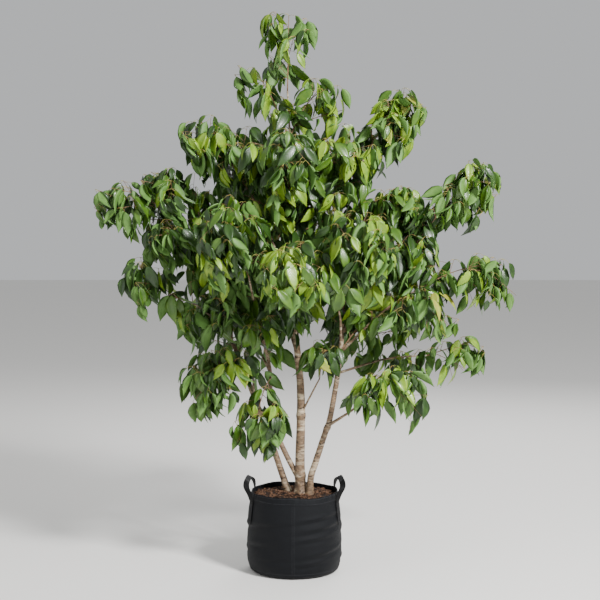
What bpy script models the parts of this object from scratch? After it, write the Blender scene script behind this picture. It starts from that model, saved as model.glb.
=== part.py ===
"""Young cherry tree in a fabric grow bag: bag, compost, webbing handles, stems, boughs and foliage.

Metres, +Z up. The origin is the centre of the bag's flat underside, and the front view looks along +Y.
"""

import math
import random
from dataclasses import dataclass
from itertools import product

import bmesh
import bpy
from mathutils import Matrix, Quaternion, Vector
from mathutils.bvhtree import BVHTree

UP = Vector((0.0, 0.0, 1.0))
GAP = 0.0003  # left between neighbouring solids

# Bag
BAG_HEIGHT = 0.352
BAG_RIM_RADIUS = 0.187
BAG_BELLY_RADIUS = 0.208
BAG_BELLY_HEIGHT = 0.150
BAG_FOOT_RADIUS = 0.172
BAG_WALL = 0.003
BAG_STEPS = 32
BAG_LEVELS = (1.0, 0.8, 0.6, 0.4, 0.18, 0.06, 0.012, 0.0)  # shares of its height
BAG_DRAW = 1.7  # how late its side draws in to the rim
BAG_ROUND = 5  # how late it rounds under to the foot

# Compost
SOIL_EDGE = 0.325
SOIL_TOP = 0.336
SOIL_HEAP_RADIUS = 0.125
SOIL_SIDE = 0.315  # top of the stretch that follows the bag

# Webbing handles
STRAP_WIDTH = 0.026
STRAP_THICKNESS = 0.0025
STRAP_CLEAR = 0.0015  # from the bag to the middle of the strap
STRAP_FOOT = 0.215  # height of the sewn ends
STRAP_TOP = 0.405
STRAP_BULGE = 0.012  # how far a loop leans out over the rim
STRAP_FRONT_ANGLE = math.radians(-21)  # from the side of the bag, front leg
STRAP_BACK_ANGLE = math.radians(27)
STRAP_SEGMENTS = 26
STRAP_FREE = 0.30  # height where a loop leaves the bag
STRAP_SQUARE = (1.25, 0.9)  # how steeply and how soon a loop rises to its flat top
STRAP_CROSSING = (0.30, 0.40)  # where it starts to cross from leg to leg, and over what share

# Limbs
FINE_STEPS = 12  # points worked out between two stops of a limb
LIMB_STEP = 0.085
LIMB_LEAST_POINTS = 4
LIMB_SUNK = 0.02  # how far below the compost a foot starts, before it is cut flat
FLARE = 0.55  # how far the roots widen the foot of the trunk
FLARE_HEIGHT = 0.022
FLARE_LOBES = 5
FLARE_LOBE_DEPTH = 0.35

# Foliage
LEAF_LENGTH = (0.135, 0.165)  # blade with its stalk
LEAF_WIDTH = 0.50  # share of the length
LEAF_BELLY = 0.46  # where along the leaf it is widest
LEAF_THICKNESS = 0.016  # share of the length
LEAF_FOLD = 0.05  # depth of the fold along the midrib, share of the length
LEAF_STEP = 0.086
LEAF_SUNK = 0.004  # how far a leaf at a tip starts inside its shoot
LEAF_SPREAD = 0.5  # most that it swings from square to its shoot
LEAF_AHEAD = 0.35  # how far it follows its shoot
LEAF_FACE = (0.5, 0.8)  # how far its upper side faces outwards and upwards
LEAF_DROOP = (0.7, 2.2)  # downward share of its heading, beside 1 outwards
LEAF_TURNS = (0, 40, -40, 80, -80, 130, -130, 180)  # headings tried for a leaf, in degrees
LEAF_SHRINKS = (1.0, 0.8)  # sizes tried for it
TWIG_ANGLE = math.radians(137.5)
TWIG_SPAN = (0.12, 0.92)  # where twigs leave their shoot, in shares of its length
TWIG_HEADING = (0.55, 0.85, 0.15)  # along the shoot, out from it and upwards
TWIG_RADIUS = (0.75, 0.4)  # at its foot and tip, shares of the shoot's there
TWIG_MOST = 0.30
TWIG_LEAST = 0.035
TWIG_GROWTH = 0.01
TWIG_CUT = 0.03  # what comes off a twig that has no room
TWIG_BARE = 0.03  # bare foot of a twig or shoot
TWIG_REACH = 0.72  # share of the space that twigs run out to
SHOOT_POINTS = 4
SHOOT_ROOT = 0.004  # how far a shoot starts inside its bearer, before it is cut clear of it
SHOOT_RADIUS = (0.0034, 0.0017)
SHOOT_SLIMMER = 0.85  # most of its bearer's radius that a shoot has at its foot
SPACE_HANG = 0.05  # how far the space sinks below its leading shoot


@dataclass(frozen=True)
class Limb:
    """A tapering limb: its bearer, where it leaves it, the places it passes with its tip last, its thickness."""

    name: str
    bearer: str
    start: float | tuple[float, float]  # share of the bearer's length, or the foot's x and y in the soil
    stops: tuple[tuple[float, float, float], ...]
    foot: float  # diameter
    tip: float
    taper: float = 1.0
    sides: int = 6


@dataclass(frozen=True)
class Mass:
    """A mass of foliage: its bearer, where it leaves it, its shoot's end and the size of its space."""

    name: str
    bearer: str
    start: float
    tip: tuple[float, float, float]
    across: float  # half width of its space, level and square to the shoot
    deep: float  # half depth of its space
    twigs: int
    arch: float = 0.03  # how far the shoot rises above a straight line at its middle


LIMBS = (
    Limb("trunk", "soil", (0.033, 0.0), ((0.024, 0.0, 0.446), (0.028, 0.0, 0.762), (0.009, 0.0, 0.994),
         (-0.011, 0.0, 1.181), (-0.004, 0.0, 1.360), (-0.011, 0.0, 1.614), (-0.019, 0.0, 1.872),
         (-0.030, 0.0, 2.080)), 0.047, 0.007, 1.35, 10),
    Limb("stem_right", "soil", (0.066, -0.026), ((0.071, -0.030, 0.410), (0.089, -0.034, 0.469),
         (0.132, -0.040, 0.604), (0.150, -0.040, 0.654), (0.175, -0.040, 0.787), (0.200, -0.030, 0.958),
         (0.211, 0.0, 1.138), (0.235, 0.03, 1.350), (0.262, 0.05, 1.600), (0.300, 0.05, 1.800)),
         0.030, 0.007, 1.0, 8),
    Limb("stem_left_outer", "soil", (-0.022, 0.042), ((-0.064, 0.042, 0.440), (-0.114, 0.030, 0.591),
         (-0.178, 0.020, 0.760), (-0.246, 0.0, 0.942), (-0.319, 0.0, 1.112), (-0.413, 0.0, 1.398),
         (-0.478, 0.0, 1.530)), 0.030, 0.008, 1.0, 8),
    Limb("stem_left_inner", "trunk", 0.040, ((-0.036, 0.020, 0.500), (-0.077, 0.040, 0.598),
         (-0.105, 0.080, 0.752), (-0.109, 0.100, 0.861), (-0.145, 0.150, 1.039), (-0.177, 0.190, 1.216),
         (-0.200, 0.220, 1.450)), 0.025, 0.008, 1.0, 8),
    Limb("bough_right_low", "stem_right", 0.222, ((0.243, -0.080, 0.708), (0.297, -0.120, 0.761),
         (0.315, -0.130, 0.772)), 0.014, 0.007),
    Limb("spur_trunk", "trunk", 0.208, ((0.085, -0.050, 0.800), (0.108, -0.065, 0.846)), 0.009, 0.006),
    Limb("bough_left_high", "trunk", 0.500, ((-0.140, 0.0, 1.549), (-0.256, 0.0, 1.743)), 0.012, 0.007),
    Limb("bough_low_left", "stem_left_outer", 0.600, ((-0.410, -0.050, 1.154), (-0.520, -0.080, 1.203)),
         0.010, 0.006),
    Limb("bough_right_upper", "stem_right", 0.490, ((0.371, -0.020, 1.268), (0.500, -0.030, 1.398),
         (0.577, -0.030, 1.498)), 0.014, 0.006),
    Limb("bough_right_mid", "stem_right", 0.435, ((0.386, -0.100, 1.144), (0.529, -0.120, 1.235)),
         0.012, 0.006),
    Limb("bough_right_lower", "stem_right", 0.375, ((0.400, 0.060, 0.918), (0.585, 0.100, 0.930)),
         0.011, 0.006),
    Limb("bough_left_lower", "stem_left_outer", 0.360, ((-0.180, -0.050, 0.890), (-0.170, -0.090, 0.915)),
         0.010, 0.006),
    Limb("bough_hanging", "stem_left_inner", 0.380, ((-0.105, 0.0, 0.845), (-0.100, -0.070, 0.850)),
         0.009, 0.006),
    Limb("bough_front_left", "stem_left_inner", 0.500, ((-0.160, -0.020, 1.100), (-0.190, -0.200, 1.290)),
         0.012, 0.007),
    Limb("bough_front_right", "stem_right", 0.410, ((0.195, -0.160, 1.100), (0.165, -0.270, 1.230)),
         0.012, 0.007),
    Limb("bough_front", "trunk", 0.375, ((0.0, -0.140, 1.150), (0.020, -0.260, 1.235)), 0.013, 0.007),
    Limb("bough_back_left", "trunk", 0.350, ((-0.060, 0.180, 1.150), (-0.100, 0.340, 1.260)), 0.013, 0.007),
    Limb("bough_back_right", "stem_right", 0.300, ((0.230, 0.160, 1.000), (0.270, 0.320, 1.150)),
         0.013, 0.007),
    Limb("bough_back_low", "stem_left_inner", 0.450, ((-0.180, 0.220, 0.980), (-0.240, 0.300, 1.030)),
         0.011, 0.007),
)

MASSES = (
    Mass("foliage_top", "trunk", 1.0, (-0.024, 0.0, 2.402), 0.140, 0.160, 5, 0.0),
    Mass("foliage_top_left", "trunk", 0.880, (-0.180, -0.020, 2.180), 0.120, 0.150, 4),
    Mass("foliage_top_right", "trunk", 0.890, (0.110, 0.020, 2.080), 0.150, 0.180, 4),
    Mass("foliage_upper_front", "trunk", 0.720, (-0.060, -0.260, 1.840), 0.190, 0.190, 5),
    Mass("foliage_upper_back", "trunk", 0.680, (0.080, 0.280, 1.840), 0.200, 0.200, 6),
    Mass("foliage_left_high", "bough_left_high", 1.0, (-0.400, 0.0, 1.950), 0.130, 0.150, 4, 0.01),
    Mass("foliage_left_middle", "trunk", 0.660, (-0.250, -0.020, 1.860), 0.170, 0.200, 5),
    Mass("foliage_right_middle", "trunk", 0.620, (0.240, -0.010, 1.870), 0.190, 0.210, 6),
    Mass("foliage_far_left", "stem_left_outer", 0.940, (-0.780, -0.020, 1.665), 0.120, 0.160, 5, 0.04),
    Mass("foliage_far_left_top", "stem_left_outer", 1.0, (-0.580, 0.0, 1.720), 0.140, 0.150, 4, 0.0),
    Mass("foliage_far_left_low", "stem_left_outer", 0.850, (-0.560, -0.040, 1.500), 0.145, 0.190, 5, 0.03),
    Mass("foliage_left_shoulder", "stem_left_outer", 0.820, (-0.430, 0.030, 1.670), 0.110, 0.170, 4, 0.0),
    Mass("foliage_low_left", "bough_low_left", 1.0, (-0.665, -0.100, 1.340), 0.120, 0.140, 3, 0.0),
    Mass("foliage_left_lower", "bough_left_lower", 1.0, (-0.380, -0.140, 0.880), 0.160, 0.180, 6),
    Mass("foliage_hanging", "bough_hanging", 1.0, (-0.160, -0.150, 0.690), 0.140, 0.150, 4),
    Mass("foliage_left_inner", "stem_left_outer", 0.560, (-0.270, -0.090, 1.360), 0.190, 0.210, 6),
    Mass("foliage_front_left", "bough_front_left", 1.0, (-0.270, -0.360, 1.540), 0.180, 0.200, 6, 0.0),
    Mass("foliage_front_low", "trunk", 0.400, (-0.110, -0.240, 1.130), 0.170, 0.150, 4),
    Mass("foliage_front_right", "bough_front_right", 1.0, (0.270, -0.400, 1.500), 0.190, 0.190, 6, 0.0),
    Mass("foliage_front", "bough_front", 1.0, (0.010, -0.520, 1.370), 0.190, 0.180, 5),
    Mass("foliage_right_high", "stem_right", 1.0, (0.490, 0.050, 2.070), 0.115, 0.150, 5, 0.01),
    Mass("foliage_right_shoulder", "stem_right", 0.780, (0.500, 0.050, 1.600), 0.180, 0.190, 6),
    Mass("foliage_right_upper", "bough_right_upper", 1.0, (0.800, -0.030, 1.750), 0.120, 0.160, 5, 0.01),
    Mass("foliage_right_inner", "bough_right_upper", 0.500, (0.560, -0.080, 1.400), 0.170, 0.190, 5),
    Mass("foliage_right_mid", "bough_right_mid", 1.0, (0.875, -0.150, 1.340), 0.115, 0.155, 5, 0.03),
    Mass("foliage_right_under", "bough_right_mid", 0.600, (0.580, -0.190, 1.200), 0.160, 0.150, 5),
    Mass("foliage_right_lower", "bough_right_lower", 1.0, (0.780, 0.120, 0.990), 0.100, 0.120, 3, 0.0),
    Mass("foliage_right_heart", "stem_right", 0.440, (0.420, 0.030, 1.170), 0.180, 0.200, 5),
    Mass("foliage_right_low", "bough_right_low", 1.0, (0.450, -0.200, 0.830), 0.160, 0.180, 6),
    Mass("foliage_spur", "spur_trunk", 1.0, (0.120, -0.110, 0.980), 0.130, 0.170, 3, 0.0),
    Mass("foliage_back_left", "bough_back_left", 1.0, (-0.250, 0.560, 1.420), 0.200, 0.190, 6),
    Mass("foliage_back_right", "bough_back_right", 1.0, (0.400, 0.530, 1.330), 0.200, 0.190, 6),
    Mass("foliage_back_high", "stem_left_inner", 1.0, (-0.210, 0.290, 1.660), 0.190, 0.190, 5, 0.0),
    Mass("foliage_back_low", "bough_back_low", 1.0, (-0.400, 0.440, 1.120), 0.180, 0.170, 5),
    Mass("foliage_back_middle", "trunk", 0.500, (0.060, 0.260, 1.420), 0.180, 0.180, 4),
)


def clear_scene():
    for obj in list(bpy.data.objects):
        bpy.data.objects.remove(obj)


def new_collection(name, hidden=False):
    collection = bpy.data.collections.new(name)
    collection.hide_render = hidden
    bpy.context.scene.collection.children.link(collection)
    return collection


def new_material(name, colour, roughness, metallic=0.0):
    material = bpy.data.materials.new(name)
    material.use_nodes = True
    shader = material.node_tree.nodes["Principled BSDF"]
    shader.inputs["Base Color"].default_value = (*colour, 1.0)
    shader.inputs["Roughness"].default_value = roughness
    shader.inputs["Metallic"].default_value = metallic
    return material


def new_object(name, mesh, collection, material=None):
    obj = bpy.data.objects.new(name, mesh)
    collection.objects.link(obj)
    if material:
        mesh.materials.append(material)
    return obj


def mesh_from(bm, name):
    mesh = bpy.data.meshes.new(name)
    bm.to_mesh(mesh)
    bm.free()
    return mesh


def turned(name, profile, collection, material):
    """A profile of (radius, height) pairs, outer side first and downwards, turned about Z."""
    bm = bmesh.new()
    corners = [bm.verts.new((radius, 0.0, height)) for radius, height in profile]
    for a, b in zip(corners, corners[1:]):
        bm.edges.new((a, b))
    obj = new_object(name, mesh_from(bm, name), collection, material)
    screw = obj.modifiers.new("Turn", "SCREW")
    screw.steps = BAG_STEPS
    screw.render_steps = BAG_STEPS
    screw.use_merge_vertices = True
    screw.merge_threshold = 0.0001
    return obj


def bag_radius(height):
    """Outer radius of the bag: it bellies out, draws in to the rim and rounds under to its foot."""
    if height > BAG_BELLY_HEIGHT:
        share = (height - BAG_BELLY_HEIGHT) / (BAG_HEIGHT - BAG_BELLY_HEIGHT)
        return BAG_BELLY_RADIUS - (BAG_BELLY_RADIUS - BAG_RIM_RADIUS) * share**BAG_DRAW
    share = 1.0 - height / BAG_BELLY_HEIGHT
    return BAG_FOOT_RADIUS + (BAG_BELLY_RADIUS - BAG_FOOT_RADIUS) * math.sqrt(1.0 - share**BAG_ROUND)


def bag_profile():
    return [(bag_radius(share * BAG_HEIGHT), share * BAG_HEIGHT) for share in BAG_LEVELS]


def inset_profile(profile, inset):
    """A profile moved inwards, square to its sides, its last point on the axis."""
    moved = []
    for before, here, after in zip(profile, profile[1:], profile[2:]):
        first = (Vector(here) - Vector(before)).normalized()
        second = (Vector(after) - Vector(here)).normalized()
        middle = (first + second).normalized()
        inward = Vector((middle.y, -middle.x))
        inward = inward if inward.x < 0 else -inward
        moved.append(tuple(Vector(here) + inward * inset / first.dot(middle)))
    return [*moved, (0.0, profile[-1][1] + inset)]


def build_bag(collection, material):
    """Open-topped bag, 3 mm thick, on a flat underside."""
    bag = turned("bag", [*bag_profile(), (0.0, 0.0)], collection, material)
    shell = bag.modifiers.new("Wall", "SOLIDIFY")
    shell.thickness = BAG_WALL
    shell.offset = -1.0
    shell.use_even_offset = True
    return bag


def build_soil(collection, material):
    """Compost: the inside of the bag, a little clear of it, up to a low flat heap round the stems."""
    floor = BAG_WALL + GAP
    inside = inset_profile([*bag_profile(), (0.0, 0.0)], BAG_WALL + 2 * GAP)
    side = [(radius, max(height, floor)) for radius, height in inside if height < SOIL_SIDE]
    edge = (bag_radius(SOIL_EDGE) - BAG_WALL - 3 * GAP, SOIL_EDGE)
    return turned("soil", [(0.0, SOIL_TOP), (SOIL_HEAP_RADIUS, SOIL_TOP), edge, *side], collection, material)


def strap_place(share):
    """Centre line of a handle at this share of its length, as (point, direction of its width).

    Both sewn ends lie flat on the bag. Between them the strap turns edge out and arches over.
    """
    rise = math.sin(math.pi * share)
    steep, soon = STRAP_SQUARE
    height = STRAP_FOOT + (STRAP_TOP - STRAP_FOOT) * min(1.0, steep * rise) ** soon
    crossed = min(1.0, max(0.0, (share - STRAP_CROSSING[0]) / STRAP_CROSSING[1]))
    swing = (1.0 - math.cos(math.pi * crossed)) / 2
    angle = STRAP_FRONT_ANGLE + (STRAP_BACK_ANGLE - STRAP_FRONT_ANGLE) * swing
    lift = min(1.0, max(0.0, (height - STRAP_FREE) / (STRAP_TOP - STRAP_FREE)))
    sewn = bag_radius(min(height, BAG_HEIGHT)) + GAP + STRAP_CLEAR
    out = sewn + (0.5 * STRAP_WIDTH + STRAP_BULGE) * lift
    place = Vector((out * math.cos(angle), out * math.sin(angle), height))
    turn = lift * math.pi / 2
    flat = Vector((-math.sin(angle), math.cos(angle), 0.0))
    outward = Vector((math.cos(angle), math.sin(angle), 0.0))
    return place, flat * math.cos(turn) + outward * math.sin(turn)


def build_handle(name, side, collection, material):
    """A webbing loop: a strip laid along its centre line, given its thickness."""
    bm = bmesh.new()
    bmesh.ops.create_grid(bm, x_segments=STRAP_SEGMENTS, y_segments=1, size=0.5)
    for vert in bm.verts:
        place, across = strap_place(vert.co.x + 0.5)
        spot = place + across * (vert.co.y * STRAP_WIDTH)
        vert.co = (side * spot.x, spot.y, spot.z)
    bmesh.ops.recalc_face_normals(bm, faces=bm.faces)
    handle = new_object(name, mesh_from(bm, name), collection, material)
    thick = handle.modifiers.new("Webbing", "SOLIDIFY")
    thick.thickness = STRAP_THICKNESS
    thick.offset = 0.0
    return handle


def evenly(points, count):
    """So many points spread evenly along a line of points."""
    marks = [0.0]
    for a, b in zip(points, points[1:]):
        marks.append(marks[-1] + (b - a).length)
    spread = []
    leg = 0
    for i in range(count):
        mark = marks[-1] * i / (count - 1)
        while leg < len(points) - 2 and marks[leg + 1] < mark:
            leg += 1
        part = (mark - marks[leg]) / (marks[leg + 1] - marks[leg])
        spread.append(points[leg].lerp(points[leg + 1], min(1.0, max(0.0, part))))
    return spread


def smooth_route(stops, step):
    """Even points, about a step apart, along a smooth curve that passes through the stops."""
    padded = [2 * stops[0] - stops[1], *stops, 2 * stops[-1] - stops[-2]]
    fine = []
    for a, b, c, d in zip(padded, padded[1:], padded[2:], padded[3:]):
        for i in range(FINE_STEPS):
            t = i / FINE_STEPS
            bend = (2 * a - 5 * b + 4 * c - d) * t * t + (3 * b - a - 3 * c + d) * t**3
            fine.append(0.5 * (2 * b + (c - a) * t + bend))
    fine.append(stops[-1])
    length = sum((b - a).length for a, b in zip(fine, fine[1:]))
    return evenly(fine, max(LIMB_LEAST_POINTS, round(length / step) + 1))


class Route:
    """The centre line and the radii of a limb or a shoot."""

    def __init__(self, points, foot, tip, taper=1.0):
        self.points = points
        last = len(points) - 1
        self.radii = [tip + (foot - tip) * (1.0 - i / last) ** taper for i in range(last + 1)]

    def at(self, share):
        """(point, direction, radius) at this share of the length."""
        last = len(self.points) - 1
        leg = min(int(share * last), last - 1)
        part = share * last - leg
        a, b = self.points[leg], self.points[leg + 1]
        radius = self.radii[leg] + (self.radii[leg + 1] - self.radii[leg]) * part
        return a.lerp(b, part), (b - a).normalized(), radius


def limb_route(limb, routes):
    if limb.bearer == "soil":
        first = Vector((*limb.start, SOIL_TOP - LIMB_SUNK))
    else:
        first = routes[limb.bearer].at(limb.start)[0]
    points = smooth_route([first, *map(Vector, limb.stops)], LIMB_STEP)
    return Route(points, limb.foot / 2, limb.tip / 2, limb.taper)


def tube(name, route, sides, collection, extra=0.0):
    """The closed mesh of a bevelled curve along a route, its caps welded, larger all round by extra."""
    curve = bpy.data.curves.new(name, "CURVE")
    curve.dimensions = "3D"
    curve.bevel_depth = 1.0
    curve.bevel_resolution = sides // 2 - 2
    curve.use_fill_caps = True
    spline = curve.splines.new("POLY")
    spline.points.add(len(route.points) - 1)
    points = [*route.points[:-1], route.points[-1] + route.at(1.0)[1] * extra]
    for spot, point, radius in zip(spline.points, points, route.radii):
        spot.co = (*point, 1.0)
        spot.radius = radius + extra
    guide = bpy.data.objects.new(name, curve)
    collection.objects.link(guide)
    mesh = bpy.data.meshes.new_from_object(guide.evaluated_get(bpy.context.evaluated_depsgraph_get()))
    placed = guide.matrix_world.copy()
    bpy.data.objects.remove(guide)
    bpy.data.curves.remove(curve)
    bm = bmesh.new()
    bm.from_mesh(mesh)
    bmesh.ops.remove_doubles(bm, verts=bm.verts, dist=0.00001)
    bm.to_mesh(mesh)
    bm.free()
    mesh.name = name
    obj = new_object(name, mesh, collection)
    obj.matrix_world = placed
    return obj


def flare_foot(obj, axis):
    """Widens the trunk's foot into low root lobes."""
    for vert in obj.data.vertices:
        above = max(0.0, vert.co.z - SOIL_TOP)
        off = Vector((vert.co.x - axis.x, vert.co.y - axis.y, 0.0))
        lobes = 1.0 + FLARE_LOBE_DEPTH * math.cos(FLARE_LOBES * math.atan2(off.y, off.x))
        vert.co += off * FLARE * lobes * math.exp(-above / FLARE_HEIGHT)


def cut_flat(obj):
    """Cuts a limb off level, just clear of the compost."""
    bm = bmesh.new()
    bm.from_mesh(obj.data)
    level = SOIL_TOP + GAP
    everything = bm.verts[:] + bm.edges[:] + bm.faces[:]
    bmesh.ops.bisect_plane(bm, geom=everything, plane_co=(0, 0, level), plane_no=UP, clear_inner=True)
    bmesh.ops.holes_fill(bm, edges=[edge for edge in bm.edges if edge.is_boundary])
    bm.to_mesh(obj.data)
    bm.free()


def cut_by(obj, cutter):
    cut = obj.modifiers.new("Seat", "BOOLEAN")
    cut.operation = "DIFFERENCE"
    cut.object = cutter


def build_limbs(collection, cutters, material):
    """Every limb, its foot cut flat on the compost or to its bearer. Returns their routes and cutters."""
    routes, around = {}, {}
    for limb in LIMBS:
        routes[limb.name] = limb_route(limb, routes)
        obj = tube(limb.name, routes[limb.name], limb.sides, collection)
        obj.data.materials.append(material)
        fat = tube(f"around_{limb.name}", routes[limb.name], limb.sides, cutters, GAP)
        fat.display_type = "WIRE"
        fat.hide_render = True
        around[limb.name] = fat
        if limb.name == "trunk":
            foot = routes["trunk"].points[0]
            flare_foot(obj, foot)
            flare_foot(fat, foot)
        if limb.bearer == "soil":
            cut_flat(obj)
            if limb.name != "trunk":
                cut_by(obj, around["trunk"])
        else:
            cut_by(obj, around[limb.bearer])
    return routes, around


class Space:
    """The space of a mass: a rounded sleeve round its leading shoot, as far as no other shoot is nearer."""

    def __init__(self, mass, routes):
        self.mass = mass
        self.lead = lead_route(mass, routes)
        self.legs = [(a, b - a) for a, b in zip(self.lead.points, self.lead.points[1:])]

    def measure(self, point):
        """How far out in the sleeve a point lies: 0 on its axis, which hangs a little low, and 1 on its skin."""
        best = math.inf
        for start, way in self.legs:
            part = min(1.0, max(0.0, (point - start).dot(way) / way.length_squared))
            off = point - start - way * part + UP * SPACE_HANG
            level = (off.x**2 + off.y**2) / self.mass.across**2
            best = min(best, level + (off.z / self.mass.deep) ** 2)
        return math.sqrt(best)

    def holds(self, point, others, most=1.0):
        """Whether a point lies in this space: within the sleeve, and in no other one as deeply."""
        own = self.measure(point)
        return own <= most and all(own <= other.measure(point) for other in others)


def lead_route(mass, routes):
    """The leading shoot of a mass, from inside its bearer to its tip, arched upwards."""
    spot, heading, radius = routes[mass.bearer].at(mass.start)
    if mass.start == 1.0:
        spot = spot - heading * SHOOT_ROOT
    points = []
    for i in range(SHOOT_POINTS):
        t = i / (SHOOT_POINTS - 1)
        points.append(spot.lerp(Vector(mass.tip), t) + UP * (4 * mass.arch * t * (1 - t)))
    return Route(points, min(SHOOT_RADIUS[0], radius * SHOOT_SLIMMER), SHOOT_RADIUS[1])


def leaf_bmesh(root, along, face, length):
    """A leaf of eight faces: an octahedron drawn out from its root to its tip and folded at the midrib."""
    across = along.cross(face).normalized()
    face = across.cross(along)
    bm = bmesh.new()
    bmesh.ops.create_uvsphere(bm, u_segments=4, v_segments=2, radius=1.0)
    for vert in bm.verts:
        x, y, z = vert.co
        share = LEAF_BELLY if abs(z) < 0.5 else (z + 1.0) / 2
        lift = y * LEAF_THICKNESS / 2 - (LEAF_FOLD if abs(y) > 0.5 else 0.0)
        vert.co = root + length * (along * share + across * (x * LEAF_WIDTH / 2) + face * lift)
    bmesh.ops.recalc_face_normals(bm, faces=bm.faces)
    return bm


def twig_bmesh(first, last, foot, tip):
    """A three-sided tapering twig."""
    bm = bmesh.new()
    length = (last - first).length
    bmesh.ops.create_cone(bm, segments=3, radius1=foot, radius2=tip, depth=length, cap_ends=True)
    turn = (last - first).to_track_quat("Z", "Y").to_matrix().to_4x4()
    bm.transform(Matrix.Translation((first + last) / 2) @ turn)
    return bm


class Growth:
    """Grows one mass by a seeded rule: side twigs up its leading shoot, leaves hanging from all of them."""

    def __init__(self, mass, space, others, obstacles, helpers):
        self.mass = mass
        self.space = space
        self.others = others
        self.obstacles = obstacles
        self.helpers = helpers
        self.lead = space.lead
        self.chance = random.Random(mass.name)
        self.kept = []

    def keep(self, bm, name, bearer):
        """Keeps a piece that stays in the space and touches nothing but the shoot that bears it."""
        fits = all(self.space.holds(vert.co, self.others) for vert in bm.verts)
        if fits:
            shape = BVHTree.FromBMesh(bm)
            near = [self.obstacles, *(tree for tree in self.kept if tree is not bearer)]
            fits = not any(shape.overlap(tree) for tree in near)
        if not fits:
            bm.free()
            return None
        new_object(name, mesh_from(bm, name), self.helpers)
        self.kept.append(shape)
        return shape

    def add_leaf(self, root, along, side, bearer):
        """Hangs a leaf on a shoot at root, turned further until it finds room."""
        length = self.chance.uniform(*LEAF_LENGTH)
        droop = self.chance.uniform(*LEAF_DROOP)
        spin = self.chance.uniform(0.0, math.tau)
        facing = Vector((math.cos(spin), math.sin(spin), LEAF_FACE[1]))
        for shrink, turn in product(LEAF_SHRINKS, LEAF_TURNS):
            out = Quaternion(UP, math.radians(turn)) @ side
            heading = (out + along * LEAF_AHEAD - UP * droop).normalized()
            leaf = leaf_bmesh(root, heading, out * LEAF_FACE[0] + facing, length * shrink)
            if self.keep(leaf, "leaf", bearer):
                return

    def add_leaves(self, first, last, bare, bearer):
        """Leaves on both sides of a straight shoot in turn, past its bare foot."""
        along = (last - first).normalized()
        side = along.cross(UP)
        side = side.normalized() if side.length > 0.2 else Vector((1.0, 0.0, 0.0))
        length = (last - first).length - bare
        count = max(1, round(length / LEAF_STEP))
        for i in range(count):
            spot = first + along * (bare + length * (i + 0.6) / count)
            hand = 1 if i % 2 else -1
            spread = self.chance.uniform(-LEAF_SPREAD, LEAF_SPREAD)
            self.add_leaf(spot, along, (side * hand + along * spread).normalized(), bearer)

    def twig_end(self, base, heading):
        """How far a twig can run before it leaves the space or has no room under it for leaves."""
        length = TWIG_LEAST
        while length < TWIG_MOST:
            end = base + heading * (length + TWIG_GROWTH)
            if not self.space.holds(end, self.others, TWIG_REACH):
                break
            length += TWIG_GROWTH
        return length

    def add_twig(self, number):
        share = TWIG_SPAN[0] + (TWIG_SPAN[1] - TWIG_SPAN[0]) * (number + 0.5) / self.mass.twigs
        base, along, radius = self.lead.at(share)
        across = along.orthogonal().normalized()
        roll = Quaternion(along, TWIG_ANGLE * number + self.phase) @ across
        ahead, outward, upward = TWIG_HEADING
        heading = (along * ahead + roll * outward + UP * upward).normalized()
        length = self.twig_end(base, heading)
        while length >= TWIG_LEAST:
            end = base + heading * length
            foot, tip = (radius * share for share in TWIG_RADIUS)
            twig = self.keep(twig_bmesh(base, end, foot, tip), "twig", None)
            if twig:
                self.add_leaves(base, end, TWIG_BARE, twig)
                self.add_leaf(end - heading * LEAF_SUNK, heading, level(heading), twig)
                return
            length -= TWIG_CUT

    def grow(self):
        self.phase = self.chance.uniform(0.0, math.tau)
        for number in range(self.mass.twigs):
            self.add_twig(number)
        points = self.lead.points
        for i, (first, last) in enumerate(zip(points, points[1:])):
            self.add_leaves(first, last, TWIG_BARE if i == 0 else 0.0, None)
        tip_way = (points[-1] - points[-2]).normalized()
        for turn in (0, 150):
            out = Quaternion(UP, math.radians(turn)) @ level(tip_way)
            self.add_leaf(points[-1] - tip_way * LEAF_SUNK, tip_way, out, None)


def level(way):
    """The level part of a direction."""
    return Vector((way.x, way.y, 0.01)).normalized()


def largest_body(obj):
    """Keeps the largest piece of a mesh. It drops loose scraps, and walls that seal a hollow."""
    bm = bmesh.new()
    bm.from_mesh(obj.data)
    left, bodies = set(bm.faces), []
    while left:
        body, edge = set(), [left.pop()]
        while edge:
            face = edge.pop()
            body.add(face)
            for loop in face.loops:
                for other in loop.edge.link_faces:
                    if other in left:
                        left.discard(other)
                        edge.append(other)
        bodies.append(body)
    whole = max(bodies, key=len)
    bmesh.ops.delete(bm, geom=[face for body in bodies if body is not whole for face in body], context="FACES")
    closed = all(len(edge.link_faces) == 2 for edge in bm.edges)
    bm.to_mesh(obj.data)
    bm.free()
    return closed


def apply_boolean(obj, operation, solver, **operand):
    boolean = obj.modifiers.new("Join", "BOOLEAN")
    boolean.operation = operation
    boolean.solver = solver
    for key, value in operand.items():
        setattr(boolean, key, value)
    bpy.context.view_layer.objects.active = obj
    bpy.ops.object.modifier_apply(modifier=boolean.name)


def join_mass(lead, helpers, cutter):
    """One union of the leading shoot with its twigs and leaves, then cut clear of its bearer."""
    plain = lead.data.copy()
    for solver in ("EXACT", "MANIFOLD"):
        lead.data = plain.copy()
        apply_boolean(lead, "UNION", solver, operand_type="COLLECTION", collection=helpers)
        apply_boolean(lead, "DIFFERENCE", solver, object=cutter)
        if largest_body(lead):
            return


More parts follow.
